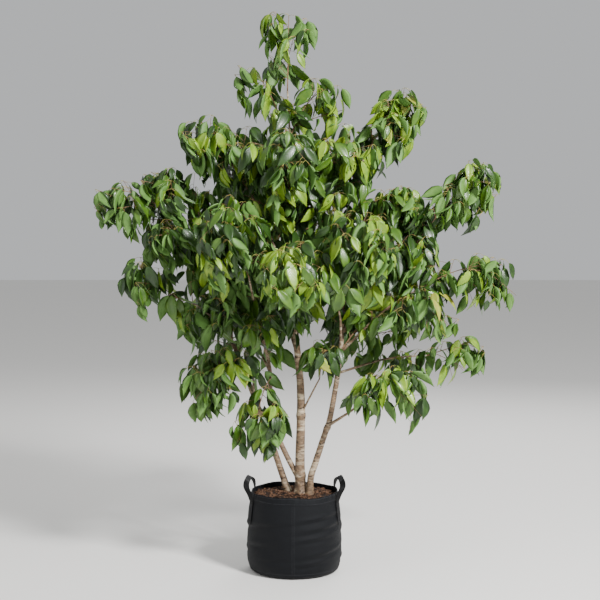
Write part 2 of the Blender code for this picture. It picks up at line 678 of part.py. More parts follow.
def build_masses(collection, routes, around, material):
    spaces = [Space(mass, routes) for mass in MASSES]
    leads = [tube(space.mass.name, space.lead, 4, collection) for space in spaces]
    solid = bmesh.new()
    for fat in around.values():
        solid.from_mesh(fat.data)
    for mass, space, lead in zip(MASSES, spaces, leads):
        others = [other for other in spaces if other is not space]
        near = solid.copy()
        for other in leads:
            if other is not lead:
                near.from_mesh(other.data)
        helpers = new_collection(f"{mass.name}_pieces", hidden=True)
        growth = Growth(mass, space, others, BVHTree.FromBMesh(near), helpers)
        near.free()
        growth.grow()
        for piece in helpers.objects:
            solid.from_mesh(piece.data)
        join_mass(lead, helpers, around[mass.bearer])
        lead.data.materials.clear()
        lead.data.materials.append(material)
        for piece in list(helpers.objects):
            bpy.data.objects.remove(piece)
        bpy.data.collections.remove(helpers)
    solid.free()


def main():
    clear_scene()
    tree = new_collection("cherry_tree_in_grow_bag")
    cutters = new_collection("cutters", hidden=True)
    felt = new_material("black_fabric", (0.020, 0.021, 0.022), 0.9)
    webbing = new_material("black_webbing", (0.016, 0.016, 0.017), 0.75)
    compost = new_material("bark_compost", (0.105, 0.050, 0.030), 0.95)
    bark = new_material("cherry_bark", (0.330, 0.250, 0.180), 0.8)
    leaf = new_material("leaf_green", (0.060, 0.160, 0.030), 0.45)
    build_bag(tree, felt)
    build_soil(tree, compost)
    build_handle("handle_left", -1, tree, webbing)
    build_handle("handle_right", 1, tree, webbing)
    routes, around = build_limbs(tree, cutters, bark)
    build_masses(tree, routes, around, leaf)


main()
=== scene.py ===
"""Looks of a young cherry tree in a black fabric grow bag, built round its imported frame.

Metres, +Z up, in the frame's own axes, except where a table or a name says millimetres. The limbs and the
leading shoots follow the same named sizes as the solids. The twigs and leaves grow on from them by the same
seeded rule, carried to finer twigs.
"""

from __future__ import annotations

import logging
import math
import random
from dataclasses import dataclass, field
from enum import Enum

import bpy
import numpy as np
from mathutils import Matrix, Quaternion, Vector, noise

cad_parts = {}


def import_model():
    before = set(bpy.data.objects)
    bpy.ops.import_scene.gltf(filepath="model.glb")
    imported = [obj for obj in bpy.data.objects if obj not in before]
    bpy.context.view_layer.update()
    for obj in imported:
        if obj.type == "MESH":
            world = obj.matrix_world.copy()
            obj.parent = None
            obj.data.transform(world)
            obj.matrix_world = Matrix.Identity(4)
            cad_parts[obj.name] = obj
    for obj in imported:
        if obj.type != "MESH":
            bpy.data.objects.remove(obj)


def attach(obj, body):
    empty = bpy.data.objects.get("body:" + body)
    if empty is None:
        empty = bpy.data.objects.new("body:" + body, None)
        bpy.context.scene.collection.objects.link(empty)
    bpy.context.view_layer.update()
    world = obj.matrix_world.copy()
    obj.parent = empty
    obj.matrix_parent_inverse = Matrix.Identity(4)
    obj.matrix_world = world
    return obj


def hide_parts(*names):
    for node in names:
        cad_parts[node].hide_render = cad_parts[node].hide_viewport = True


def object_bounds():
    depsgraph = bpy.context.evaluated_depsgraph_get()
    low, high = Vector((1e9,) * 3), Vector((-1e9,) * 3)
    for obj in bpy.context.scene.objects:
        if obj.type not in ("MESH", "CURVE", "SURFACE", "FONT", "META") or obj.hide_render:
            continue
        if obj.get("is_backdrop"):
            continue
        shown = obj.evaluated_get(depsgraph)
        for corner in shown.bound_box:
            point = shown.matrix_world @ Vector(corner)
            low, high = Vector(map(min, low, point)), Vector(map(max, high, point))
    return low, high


LOG = logging.getLogger("cherry_tree")
UP = Vector((0.0, 0.0, 1.0))
BODY = "root"
MM = 0.001
MM_PER_METRE = 1000

Tree = bpy.types.NodeTree
Socket = bpy.types.NodeSocket
Piece = bpy.types.Object
Pair = tuple[float, float]
Triple = tuple[float, float, float]


def linear(code: str) -> tuple[float, float, float, float]:
    """Turns six sRGB hex digits into linear red, green and blue, with an alpha of 1."""
    toe, slope, power, high = 0.04045, 12.92, 2.4, 1.055
    shares = [int(code[i:i + 2], 16) / 255 for i in (0, 2, 4)]
    channels = [c / slope if c <= toe else ((c + high - 1) / high) ** power for c in shares]
    return (*channels, 1.0)


def metres(place: tuple[float, ...]) -> Vector:
    """A place given in millimetres, in metres."""
    return Vector([part / MM_PER_METRE for part in place])


def polar(reach: float, angle: float, height: float = 0.0) -> Vector:
    """The point at a reach and an angle round the upright axis."""
    return Vector((reach * math.cos(angle), reach * math.sin(angle), height))


def hump(value: float, middle: float, width: float) -> float:
    """A bell curve: 1 at its middle and 0.37 one width away."""
    return math.exp(-((value - middle) / width) ** 2)


def clamp(value: float) -> float:
    """A value held between 0 and 1."""
    return min(1.0, max(0.0, value))


def add_node(tree: Tree, kind: str, links: dict | None = None, output: int | str = 0,
             **settings: object) -> Socket:
    """Adds a shader node with its settings, its values and its links.

    Args:
        tree: The material's node tree.
        kind: The node's type, without its first words.
        links: Input name or number to a value, or to the socket that feeds it.
        output: The output to give back.
        settings: The node's own settings.

    Returns:
        That output of the new node.
    """
    made = tree.nodes.new(f"ShaderNode{kind}")
    for name, value in settings.items():
        setattr(made, name, value)
    for name, value in (links or {}).items():
        if isinstance(value, Socket):
            tree.links.new(value, made.inputs[name])
        else:
            made.inputs[name].default_value = value
    return made.outputs[output]


def add_grain(tree: Tree, size_mm: float, stretch: Triple, spread: Pair, **details: float) -> Socket:
    """Adds a noise of a real grain size, in the object's own coordinates.

    Args:
        tree: The material's node tree.
        size_mm: The size of its grain.
        stretch: How much finer it runs along each axis.
        spread: The part of its range that is spread to 0 and 1.
        details: The noise's own values.

    Returns:
        The noise.
    """
    spot = add_node(tree, "TexCoord", output="Object")
    place = add_node(tree, "Mapping", {"Vector": spot, "Scale": stretch})
    grain = add_node(tree, "TexNoise", {"Vector": place, "Scale": 1.0 / (size_mm * MM), **details})
    return add_node(tree, "MapRange", {0: grain, 1: spread[0], 2: spread[1]})


def mix_colours(tree: Tree, share: Socket, first: Socket | tuple, second: Socket | tuple) -> Socket:
    """Mixes two colours. The node takes them at inputs 6 and 7 and gives the mix at output 2."""
    return add_node(tree, "Mix", {0: share, 6: first, 7: second}, 2, data_type="RGBA")


@dataclass(frozen=True)
class Finish:
    """A finish: two colours mixed by a noise of a real grain size, with a bump of its own."""

    name: str
    slot: str
    colour: str
    second: str
    grain_mm: float
    roughness: float
    bump: float = 0.2
    bump_mm: float = 0.3
    stretch: Triple = (1.0, 1.0, 1.0)
    specular: float = 0.5
    sheen: float = 0.0
    coat: float = 0.0
    contrast: Pair = (0.35, 0.65)

    def build(self) -> bpy.types.Material:
        """Makes the material: a Principled surface fed by the grain."""
        material = bpy.data.materials.new(self.name)
        material.use_nodes = True
        tree = material.node_tree
        surface = tree.nodes["Principled BSDF"].inputs
        for name, value in (("Roughness", self.roughness), ("Specular IOR Level", self.specular),
                            ("Sheen Weight", self.sheen), ("Coat Weight", self.coat)):
            surface[name].default_value = value
        grain = add_grain(tree, self.grain_mm, self.stretch, self.contrast, Detail=4.0, Roughness=0.6)
        colour = mix_colours(tree, grain, linear(self.colour), linear(self.second))
        tree.links.new(self.tint(tree, colour), surface["Base Color"])
        bump = {"Strength": self.bump, "Distance": self.bump_mm * MM, "Height": self.relief(tree, grain)}
        tree.links.new(add_node(tree, "Bump", bump), surface["Normal"])
        return material

    def tint(self, tree: Tree, colour: Socket) -> Socket:
        """The colour as it is. A finish with more to show changes it here."""
        return colour

    def relief(self, tree: Tree, grain: Socket) -> Socket:
        """The height that the bump reads: the grain itself."""
        return grain


@dataclass(frozen=True)
class BarkFinish(Finish):
    """Young cherry bark: satin golden brown, silvery skin in bands round the limb, dark lenticels."""

    silver: str = "bdac92"
    lenticel: str = "33281f"
    # Size in mm, stretch and spread
    bands: tuple[float, Triple, Pair] = (26.0, (0.25, 0.25, 1.0), (0.50, 0.66))
    dashes: tuple[float, Triple, Pair] = (7.0, (0.35, 0.35, 1.3), (0.62, 0.68))

    def tint(self, tree: Tree, colour: Socket) -> Socket:
        """Lays silvery bands and dark lenticels, flat across the limb, over the brown."""
        skin = mix_colours(tree, add_grain(tree, *self.bands, Detail=3.0), colour, linear(self.silver))
        return mix_colours(tree, add_grain(tree, *self.dashes, Detail=1.0), skin, linear(self.lenticel))


@dataclass(frozen=True)
class LeafFinish(Finish):
    """A cherry leaf: a waxy skin over a blade with raised side veins, read from the leaf's own UV map."""

    veins: float = 9.0
    slant: float = 5.0

    def relief(self, tree: Tree, grain: Socket) -> Socket:
        """Side veins at a slant: bands along the leaf, set back towards the margins."""
        def work(operation: str, first: Socket, second: Socket | float = 0.0) -> Socket:
            """One step of arithmetic."""
            return add_node(tree, "Math", {0: first, 1: second}, operation=operation)

        chart = add_node(tree, "SeparateXYZ", {0: add_node(tree, "TexCoord", output="UV")}).node.outputs
        aside = work("ABSOLUTE", work("SUBTRACT", chart[0], 0.5))
        run = work("SUBTRACT", work("MULTIPLY", chart[1], self.veins), work("MULTIPLY", aside, self.slant))
        return work("PINGPONG", run, 0.5)


# Needle-punched polypropylene: flat black, with a faint mottle of fibres.
FELT = Finish("black_nonwoven_felt", "black_fabric", "040506", "0d0f14", 2.2, 0.62, 0.6, 1.0,
              sheen=0.01, specular=0.16)
# Woven polypropylene tape, with cross ribs.
WEBBING = Finish("black_woven_webbing", "black_webbing", "040405", "0c0c0e", 2.6, 0.62, 0.5, 0.6,
                 stretch=(0.4, 0.4, 1.6), specular=0.16)
# Bonded polyester thread: greyer than what it sews.
THREAD = Finish("grey_bonded_thread", "black_webbing", "2c2c31", "44444a", 1.5, 0.5, 0.2)
# Composted bark: damp, so its fines are dark, and its chips are red-brown and dark brown.
FINES = Finish("damp_bark_fines", "bark_compost", "160f0b", "2b1e17", 6.0, 0.95, 0.9, 4.0, specular=0.25)
CHIP_RED = Finish("red_bark_chips", "bark_compost", "48301f", "735440", 5.0, 0.9, 0.5, 0.8, specular=0.25)
CHIP_DARK = Finish("dark_bark_chips", "bark_compost", "20150f", "38271d", 5.0, 0.9, 0.5, 0.8, specular=0.25)
# Young cherry bark has a thin papery skin, satin where it is tight.
BARK = BarkFinish("young_cherry_bark", "cherry_bark", "574536", "8a7156", 11.0, 0.58, 0.7, 1.6,
                  stretch=(0.5, 0.5, 1.0), specular=0.4)
# This year's wood is smooth and brown, and a leaf's stalk is tinged with red.
TWIG = Finish("young_cherry_twig", "cherry_bark", "5c4430", "8a6a4a", 8.0, 0.55, 0.2)
STALK = Finish("leaf_stalk", "leaf_green", "93a04a", "a8804c", 14.0, 0.5, 0.1)


class Tone(Enum):
    """The greens of the leaves, the deep one partly painted shade and the bright one partly painted
    sunlight. Each value is (name, colour, second colour, roughness, coat).
    """

    # A dark green dealt more to shaded sprays: partly painted shade.
    DEEP = ("deep_green_leaf", "1b350b", "2b4910", 0.40, 0.05)
    MID = ("mid_green_leaf", "355810", "496a15", 0.40, 0.05)
    # A light green dealt more to sprays on the lit side, lightened to stand for sunlit leaves: partly
    # painted sunlight.
    BRIGHT = ("bright_green_leaf", "60841a", "7f9c22", 0.42, 0.05)
    YOUNG = ("young_tip_leaf", "87a034", "968f38", 0.42, 0.05)
    UNDER = ("pale_leaf_underside", "496f2b", "5c8238", 0.60, 0.0)

    def finish(self) -> LeafFinish:
        """The finish of this green: waxy above, dull and paler below."""
        name, colour, second, roughness, coat = self.value
        return LeafFinish(name, "leaf_green", colour, second, grain_mm=30.0, roughness=roughness, bump=0.35,
                          bump_mm=0.8, coat=coat)


def select_only(piece: Piece) -> None:
    """Deselects everything, then selects one object and makes it active."""
    bpy.ops.object.select_all(action="DESELECT")
    piece.select_set(True)
    bpy.context.view_layer.objects.active = piece


def smooth(piece: Piece) -> None:
    """Shades a piece smooth."""
    select_only(piece)
    bpy.ops.object.shade_smooth()


def turn_faces_out(piece: Piece) -> None:
    """Makes all the faces of a piece look the same way."""
    select_only(piece)
    bpy.ops.object.mode_set(mode="EDIT")
    bpy.ops.mesh.select_all(action="SELECT")
    bpy.ops.mesh.normals_make_consistent(inside=False)
    bpy.ops.object.mode_set(mode="OBJECT")


def apply_modifier(piece: Piece, kind: str, **settings: object) -> None:
    """Gives a piece a modifier with these settings and applies it."""
    select_only(piece)
    made = piece.modifiers.new(kind, kind)
    for name, value in settings.items():
        setattr(made, name, value)
    bpy.ops.object.modifier_apply(modifier=made.name)


def finish_piece(piece: Piece, name: str, finishes: list[Finish], *nodes: str) -> None:
    """Names a piece, dresses it and ties it to the frame.

    Args:
        piece: The finished mesh object, at the origin.
        name: Its name.
        finishes: The finishes of its material slots, in order.
        nodes: The frame's nodes that it stands for.
    """
    piece.name = name
    piece.data.name = name
    for finish in finishes:
        material = bpy.data.materials.get(finish.name) or finish.build()
        piece.data.materials.append(material)
    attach(piece, BODY)
    if nodes:
        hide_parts(*nodes)
    LOG.info("%s: %d faces", name, len(piece.data.polygons))


def mesh_object(name: str, points: list[np.ndarray], faces: list, kinds: list[int]) -> Piece:
    """Makes one joined, smooth mesh from arrays.

    Args:
        name: The object's name.
        points: Its points, in as many arrays as it was made in.
        faces: The point numbers of each face.
        kinds: The material slot of each face.

    Returns:
        The new object.
    """
    mesh = bpy.data.meshes.new(name)
    mesh.from_pydata(np.concatenate(points).tolist(), [], faces)
    mesh.polygons.foreach_set("material_index", kinds)
    mesh.polygons.foreach_set("use_smooth", [True] * len(mesh.polygons))
    mesh.update()
    piece = bpy.data.objects.new(name, mesh)
    bpy.context.scene.collection.objects.link(piece)
    return piece


class Sheaf:
    """Many round pieces, such as twigs, stalks or stitches, gathered into one mesh."""

    fullness = 0.0001  # how much thicker a stitch is at its middle

    def __init__(self) -> None:
        """Starts with nothing in it."""
        self.points: list[np.ndarray] = []
        self.faces: list[tuple[int, ...]] = []
        self.count = 0

    def add(self, line: list[Vector], radii: list[float], sides: int, shape: object = None) -> None:
        """Adds a tube along a line, with closed ends.

        Args:
            line: Its centre points.
            radii: Its radius at each of them.
            sides: How many sides it has.
            shape: Turns (point number, angle, radius) into the radius there, where given.
        """
        along = [(b - a).normalized() for a, b in zip(line, line[1:])]
        along.append(along[-1])
        across = along[0].orthogonal().normalized()
        rings = []
        for i, (centre, way, radius) in enumerate(zip(line, along, radii)):
            across = (across - way * across.dot(way)).normalized()
            beside = way.cross(across)
            for k in range(sides):
                turn = math.tau * k / sides
                reach = shape(i, turn, radius) if shape else radius
                rings.append(centre + (across * math.cos(turn) + beside * math.sin(turn)) * reach)
        first = self.count
        for i in range(len(line) - 1):
            for k in range(sides):
                a, b = first + i * sides + k, first + i * sides + (k + 1) % sides
                self.faces.append((a, b, b + sides, a + sides))
        last = first + (len(line) - 1) * sides
        self.faces.append(tuple(range(first + sides - 1, first - 1, -1)))
        self.faces.append(tuple(range(last, last + sides)))
        self.points.append(np.array([tuple(point) for point in rings]))
        self.count += len(rings)

    def add_stitch(self, line: list[Vector], thick: float) -> None:
        """Adds a stitch along three points, fullest at its middle."""
        self.add(line, [thick, thick + self.fullness, thick], 4)

    def finish(self, name: str, finish: Finish, *nodes: str) -> None:
        """Makes the mesh object of all that was added, and dresses it."""
        made = mesh_object(name, self.points, self.faces, [0] * len(self.faces))
        finish_piece(made, name, [finish], *nodes)


@dataclass
class GrowBag:
    """The bag: a soft felt shell that bellies out and wrinkles, with a hem, a seam and a piped foot."""

    height: float = 0.352
    rim: float = 0.187
    belly: float = 0.208
    belly_height: float = 0.150
    foot: float = 0.172
    floor_ring: float = 0.02
    wall: float = 0.003
    within: float = 0.001
    draw: float = 1.7
    round: float = 5
    sides: int = 180
    rows: int = 64
    hem: float = 0.030
    hem_swell: float = 0.0014
    gathers: int = 46
    gather: float = 0.0016
    gather_shift: Pair = (3, 5)  # how uneven they are, and how often
    piping: Triple = (0.013, 0.004, 0.003)  # height, half height, swell
    seam_angle: float = math.radians(-91.5)
    seam_width: float = 0.006
    seam_swell: float = 0.0022
    seam_rows: Pair = (-0.0045, 0.0045)
    hem_row: float = 0.003
    foot_row: float = 0.024
    stitch: float = 0.0045
    stitch_gap: float = 0.0025
    stitch_rise: float = 0.0005
    stitch_thick: float = 0.0004
    # The rim's dips: (size, waves round the bag, phase), and how far down and how deep they reach
    dips: tuple[Triple, ...] = ((0.0022, 3, 1.1), (0.0016, 7, 0.0))
    dip_reach: float = 0.06
    dip_sink: float = 0.002
    # The slow sway of the wall: its size, its waves round the bag and up it, how far up the foot holds it,
    # and the share of it that is left at the rim
    sway: float = 0.0045
    sway_round: float = 1.6
    sway_up: float = 9.0
    held: float = 0.05
    hem_loose: float = 0.25
    # Wrinkles: (angle in degrees, height, half length in degrees, half height, depth), front is -90
    wrinkles: tuple[tuple[float, float, float, float, float], ...] = (
        (-55, 0.265, 34, 0.01, 0.003), (-48, 0.225, 40, 0.012, 0.0036), (-62, 0.18, 30, 0.01, 0.0028),
        (-40, 0.12, 36, 0.012, 0.0032), (-70, 0.072, 28, 0.009, 0.0024), (-125, 0.24, 26, 0.012, 0.0022),
        (-140, 0.15, 30, 0.012, 0.0024), (-118, 0.09, 22, 0.009, 0.0018), (20, 0.2, 34, 0.012, 0.003),
        (60, 0.13, 36, 0.012, 0.0032), (95, 0.25, 30, 0.011, 0.0028), (130, 0.18, 34, 0.012, 0.003),
        (165, 0.1, 30, 0.01, 0.0026), (-170, 0.215, 32, 0.012, 0.0028), (5, 0.07, 26, 0.009, 0.0022))
    slope: float = 0.00035  # metres that a wrinkle climbs in a degree
    fold_reach: Pair = (2, 4)  # how far it is followed, in half lengths and half heights
    crease: float = 1.7
    taper: float = 1.5
    hollow: Pair = (0.8, 1.6)  # the share of a fold's depth under it, and how far down in half heights

    def plain_radius(self, height: float) -> float:
        """The bag's radius at a height, before any wrinkle: the same curve as the solid's."""
        if height > self.belly_height:
            share = (height - self.belly_height) / (self.height - self.belly_height)
            return self.belly - (self.belly - self.rim) * share**self.draw
        share = 1.0 - height / self.belly_height
        return self.foot + (self.belly - self.foot) * math.sqrt(max(0.0, 1.0 - share**self.round))

    def radius(self, angle: float, height: float) -> float:
        """The bag's radius with its sway, its wrinkles, its seam and its hems."""
        below = self.height - height
        loose = min(1.0, height / self.held) * min(1.0, below / self.hem + self.hem_loose)
        swell = self.sway * noise.noise(polar(self.sway_round, angle, height * self.sway_up)) * loose
        under, down = self.hollow
        for middle, level, half_length, half_height, depth in self.wrinkles:
            aside = (math.degrees(angle) - middle + 180) % 360 - 180
            tilt = level + self.slope * aside
            along, off = aside / half_length, (height - tilt) / half_height
            if abs(along) < self.fold_reach[0] and abs(off) < self.fold_reach[1]:
                fold = hump(off, 0.0, 1.0) - under * hump(off, -down, 1.0)
                swell += self.crease * depth * math.exp(-along * along * self.taper) * fold
        shift, waves = self.gather_shift
        gathered = math.sin(angle * self.gathers + shift * math.sin(waves * angle)) * self.gather
        gathered *= max(0.0, 1 - below / self.hem)
        aside = (angle - self.seam_angle + math.pi) % math.tau - math.pi
        seam = self.seam_swell * hump(aside * self.belly, 0.0, self.seam_width)
        hem = self.hem_swell if height > self.height - self.hem else 0.0
        level, half, size = self.piping
        return (self.plain_radius(height) - self.within + swell + gathered + seam + hem
                + size * hump(height, level, half))

    def settle(self, angle: float, height: float) -> float:
        """A height on the bag, lowered near the rim where the felt dips."""
        dip = sum(size * math.sin(waves * angle + phase) for size, waves, phase in self.dips)
        return height + (dip - self.dip_sink) * max(0.0, 1 - (self.height - height) / self.dip_reach)

    def build(self) -> None:
        """Models the shell, extruding its wall up from its foot ring, and sews it."""
        bpy.ops.mesh.primitive_circle_add(vertices=self.sides, radius=self.foot, fill_type="NGON")
        bag = bpy.context.object
        bpy.ops.object.mode_set(mode="EDIT")
        bpy.ops.mesh.select_all(action="SELECT")
        bpy.ops.mesh.inset(thickness=self.floor_ring)
        bpy.ops.mesh.select_all(action="DESELECT")
        bpy.ops.mesh.select_mode(type="EDGE")
        bpy.ops.mesh.select_non_manifold()
        row = self.height / self.rows
        for _ in range(self.rows):
            bpy.ops.mesh.extrude_region_move(TRANSFORM_OT_translate={"value": (0.0, 0.0, row)})
        bpy.ops.object.mode_set(mode="OBJECT")
        for vert in bag.data.vertices:
            if vert.co.z > row / 2 or math.hypot(vert.co.x, vert.co.y) > self.foot - self.floor_ring / 2:
                angle = math.atan2(vert.co.y, vert.co.x)
                vert.co = polar(self.radius(angle, vert.co.z), angle, self.settle(angle, vert.co.z))
        turn_faces_out(bag)
        apply_modifier(bag, "SOLIDIFY", thickness=self.wall, offset=-1.0)
        smooth(bag)
        finish_piece(bag, "felt_bag", [FELT], "bag")
        self.sew()

    def sew(self) -> None:
        """Lays the lines of stitches: two round the hem, one above the foot, two down the seam."""
        sheaf = Sheaf()
        pitch = self.stitch + self.stitch_gap
        parts = (0.0, self.stitch / pitch / 2, self.stitch / pitch)
        hem_rows = self.height - self.hem + self.hem_row, self.height - 2 * self.hem_row
        for height in (*hem_rows, self.foot_row):
            count = int(math.tau * self.plain_radius(height) / pitch)
            for i in range(count):
                self.add_stitch(sheaf, [(math.tau * (i + part) / count, height) for part in parts])
        for offset in self.seam_rows:
            angle = self.seam_angle + offset / self.belly
            for i in range(int((self.height - 2 * self.hem) / pitch)):
                low = self.hem + i * pitch
                self.add_stitch(sheaf, [(angle, low + part * self.stitch) for part in (0.0, 0.5, 1.0)])
        sheaf.finish("bag_stitches", THREAD)

    def add_stitch(self, sheaf: Sheaf, places: list[Pair]) -> None:
        """Adds one stitch that lies on the felt at these angles and heights, its middle raised."""
        rises = (0.0, self.stitch_rise, 0.0)
        sheaf.add_stitch([polar(self.radius(angle, height) + rise, angle, self.settle(angle, height))
                          for (angle, height), rise in zip(places, rises)], self.stitch_thick)


@dataclass
class Handle:
    """A webbing loop: sewn flat to the bag at both ends, turned edge out between, upright at its middle."""

    bag: GrowBag
    name: str
    side: int
    width: float = 0.026
    thickness: float = 0.0022
    rolled: float = 0.0006
    clear: float = 0.0026
    foot: float = 0.215
    top: float = 0.398
    free: float = 0.30
    front: float = math.radians(-21)
    back: float = math.radians(27)
    segments: int = 96
    square: Pair = (1.06, 0.85)
    crossing: Pair = (0.24, 0.52)
    # How far the front leg leans out and how steeply the arch stands, each at a share of the length
    lean: Triple = (0.021, 0.29, 0.1)
    stand: Triple = (math.radians(48), 0.5, 0.13)
    # The sewn boxes: the shares of the length they span, the stitches along and across, half their width
    boxes: tuple[Pair, ...] = ((0.012, 0.12), (0.988, 0.88))
    rows: int = 9
    columns: int = 5
    box_edge: float = 0.38
    first_column: float = -0.36
    column_step: float = 0.15
    along: Triple = (0.0, 0.035, 0.07)
    across: Triple = (0.0, 0.05, 0.10)
    stitch_thick: float = 0.0005
    stitch_lift: float = 0.0002

    def place(self, share: float) -> tuple[Vector, Vector, Vector]:
        """The strap at a share of its length: its middle, the way of its width and its outer side."""
        rise = math.sin(math.pi * share)
        steep, soon = self.square
        height = self.foot + (self.top - self.foot) * min(1.0, steep * rise) ** soon
        swing = (1.0 - math.cos(math.pi * clamp((share - self.crossing[0]) / self.crossing[1]))) / 2
        angle = self.front + (self.back - self.front) * swing
        lift = clamp((height - self.free) / (self.top - self.free))
        turn = lift * math.pi / 2
        out = self.bag.plain_radius(min(height, self.bag.height)) + self.clear
        out += 0.5 * self.width * math.sin(turn)
        out += self.lean[0] * hump(share, *self.lean[1:]) * math.sqrt(lift)
        flat = Vector((-math.sin(angle), math.cos(angle), 0.0))
        outward = polar(1.0, angle)
        stand = self.stand[0] * hump(share, *self.stand[1:])
        edge = outward * math.cos(stand) + UP * math.sin(stand)
        across = flat * math.cos(turn) + edge * math.sin(turn)
        return polar(out, angle, height), across, outward * math.cos(turn) - flat * math.sin(turn)

    def spot(self, share: float, aside: float, lift: float = 0.0) -> Vector:
        """The point at a share of the length and of the width, lifted off the strap."""
        middle, across, outer = self.place(share)
        spot = middle + across * (aside * self.width) + outer * lift
        return Vector((self.side * spot.x, spot.y, spot.z))

    def build(self) -> None:
        """Models the strap from a subdivided plane laid along its line, with rolled edges, and sews it."""
        bpy.ops.mesh.primitive_grid_add(x_subdivisions=self.segments, y_subdivisions=6, size=1.0)
        strap = bpy.context.object
        for vert in strap.data.vertices:
            vert.co = self.spot(vert.co.x + 0.5, vert.co.y)
        turn_faces_out(strap)
        apply_modifier(strap, "SOLIDIFY", thickness=self.thickness, offset=0.0)
        apply_modifier(strap, "BEVEL", width=self.rolled, segments=2, limit_method="ANGLE")
        smooth(strap)
        finish_piece(strap, f"webbing_{self.name}", [WEBBING], self.name)
        self.sew()

    def sew(self) -> None:
        """Sews a box of stitches on each flat end."""
        sheaf = Sheaf()
        for start, end in self.boxes:
            for aside in (-self.box_edge, self.box_edge):
                for i in range(self.rows):
                    share = start + (end - start) * i / self.rows
                    run = [share + (end - start) * part for part in self.along]
                    self.add_stitch(sheaf, [(spot, aside) for spot in run])
            for share in (start, end):
                for i in range(self.columns):
                    aside = self.first_column + self.column_step * i
                    self.add_stitch(sheaf, [(share, aside + part) for part in self.across])
        sheaf.finish(f"stitches_{self.name}", THREAD)

    def add_stitch(self, sheaf: Sheaf, places: list[Pair]) -> None:
        """Adds one stitch on the strap's outer side, at (share of the length, share of the width)."""
        lift = 0.5 * self.thickness + self.stitch_lift
        sheaf.add_stitch([self.spot(share, aside, lift) for share, aside in places], self.stitch_thick)


@dataclass
class Compost:
    """The compost: a lumpy surface inside the bag, strewn with bark chips."""

    bag: GrowBag
    edge: float = 0.325
    top: float = 0.336
    heap: float = 0.125
    depth: float = 0.02
    gap: float = 0.002
    rings: int = 36
    sides: int = 120
    # Lumps: (waves in a metre, where the noise is read, height)
    lumps: tuple[Triple, ...] = ((28, 0.0, 0.0035), (90, 3.0, 0.0018))
    # The chips: length, width and thickness as shares of it, how uneven, how tilted and how far up they lie
    chips: int = 1300
    chip: Pair = (0.006, 0.019)
    chip_width: Pair = (0.25, 0.6)
    chip_thick: Pair = (0.10, 0.28)
    uneven: Pair = (0.6, 1.0)
    tilt: Pair = (-0.6, 0.6)
    proud: Pair = (0.0, 0.004)
    margin: float = 0.006
    red_share: float = 0.6

    def height(self, x: float, y: float) -> float:
        """The height of the compost at a place: a low heap, lumpy."""
        share = clamp((math.hypot(x, y) - self.heap) / (self.bag.plain_radius(self.edge) - self.heap))
        lump = sum(noise.noise(Vector((x, y, level)) * waves) * size for waves, level, size in self.lumps)
        return self.top + (self.edge - self.top) * share + lump

    def build(self) -> None:
        """Models the surface from a disc of rings closed by a floor, and strews the chips."""
        reach = self.bag.plain_radius(self.edge) - self.bag.wall - self.gap
        bpy.ops.mesh.primitive_circle_add(vertices=self.sides, radius=reach, fill_type="NGON")
        soil = bpy.context.object
        bpy.ops.object.mode_set(mode="EDIT")
        bpy.ops.mesh.select_all(action="SELECT")
        for _ in range(self.rings - 1):
            bpy.ops.mesh.inset(thickness=reach / self.rings)
        bpy.ops.mesh.poke()
        bpy.ops.object.mode_set(mode="OBJECT")
        for vert in soil.data.vertices:
            vert.co.z = self.height(vert.co.x, vert.co.y)
        apply_modifier(soil, "SOLIDIFY", thickness=self.depth, offset=-1.0)
        smooth(soil)
        finish_piece(soil, "compost_surface", [FINES], "soil")
        self.strew(reach)

    def strew(self, reach: float) -> None:
        """Strews chips: flat splinters of bark, each an uneven box, half sunk."""
        chance = random.Random("chips")
        corners = np.array([(x, y, z) for z in (-1, 1) for y in (-1, 1) for x in (-1, 1)], float)
        sides = [(0, 2, 3, 1), (4, 5, 7, 6), (0, 1, 5, 4), (2, 6, 7, 3), (0, 4, 6, 2), (1, 3, 7, 5)]
        points, faces, kinds = [], [], []
        for number in range(self.chips):
            flat = (reach - self.margin) * math.sqrt(chance.random())
            turn = chance.uniform(0.0, math.tau)
            x, y = flat * math.cos(turn), flat * math.sin(turn)
            size = chance.uniform(*self.chip)
            half = np.array((size, size * chance.uniform(*self.chip_width),
                             size * chance.uniform(*self.chip_thick))) / 2
            uneven = np.array([[chance.uniform(*self.uneven) for _ in range(3)] for _ in corners])
            up = Vector((chance.uniform(*self.tilt), chance.uniform(*self.tilt), 1.0))
            spin = Quaternion(UP, chance.uniform(0.0, math.tau))
            spin = np.array((up.to_track_quat("Z", "Y") @ spin).to_matrix())
            middle = np.array((x, y, self.height(x, y) + chance.uniform(*self.proud)))
            points.append(corners * half * uneven @ spin.T + middle)
            faces += [tuple(len(corners) * number + corner for corner in side) for side in sides]
            kinds += [0 if chance.random() < self.red_share else 1] * len(sides)
        strewn = mesh_object("bark_chips", points, faces, kinds)
        strewn.data.polygons.foreach_set("use_smooth", [False] * len(faces))
        finish_piece(strewn, "bark_chips", [CHIP_RED, CHIP_DARK])


@dataclass(frozen=True)
class Limb:
    """A tapering limb, in mm: its bearer, where it leaves it, the places it passes with its tip last.

    It starts at a place on the ground, or at a share of its bearer's length.
    """

    name: str
    bearer: str
    start: float | tuple[int, int]
    stops: tuple[tuple[int, int, int], ...]
    foot: int
    tip: int
    taper: float = 1.0


@dataclass(frozen=True)
class Mass:
    """A mass of foliage, in mm: its bearer, where it leaves it, its shoot's end and its space's size."""

    name: str
    bearer: str
    start: float
    tip: tuple[int, int, int]
    across: int
    deep: int
    twigs: int
    arch: int = 30

    @property
    def node(self) -> str:
        """The frame's node that the mass stands for, which also seeds its growth."""
        return f"foliage_{self.name}"


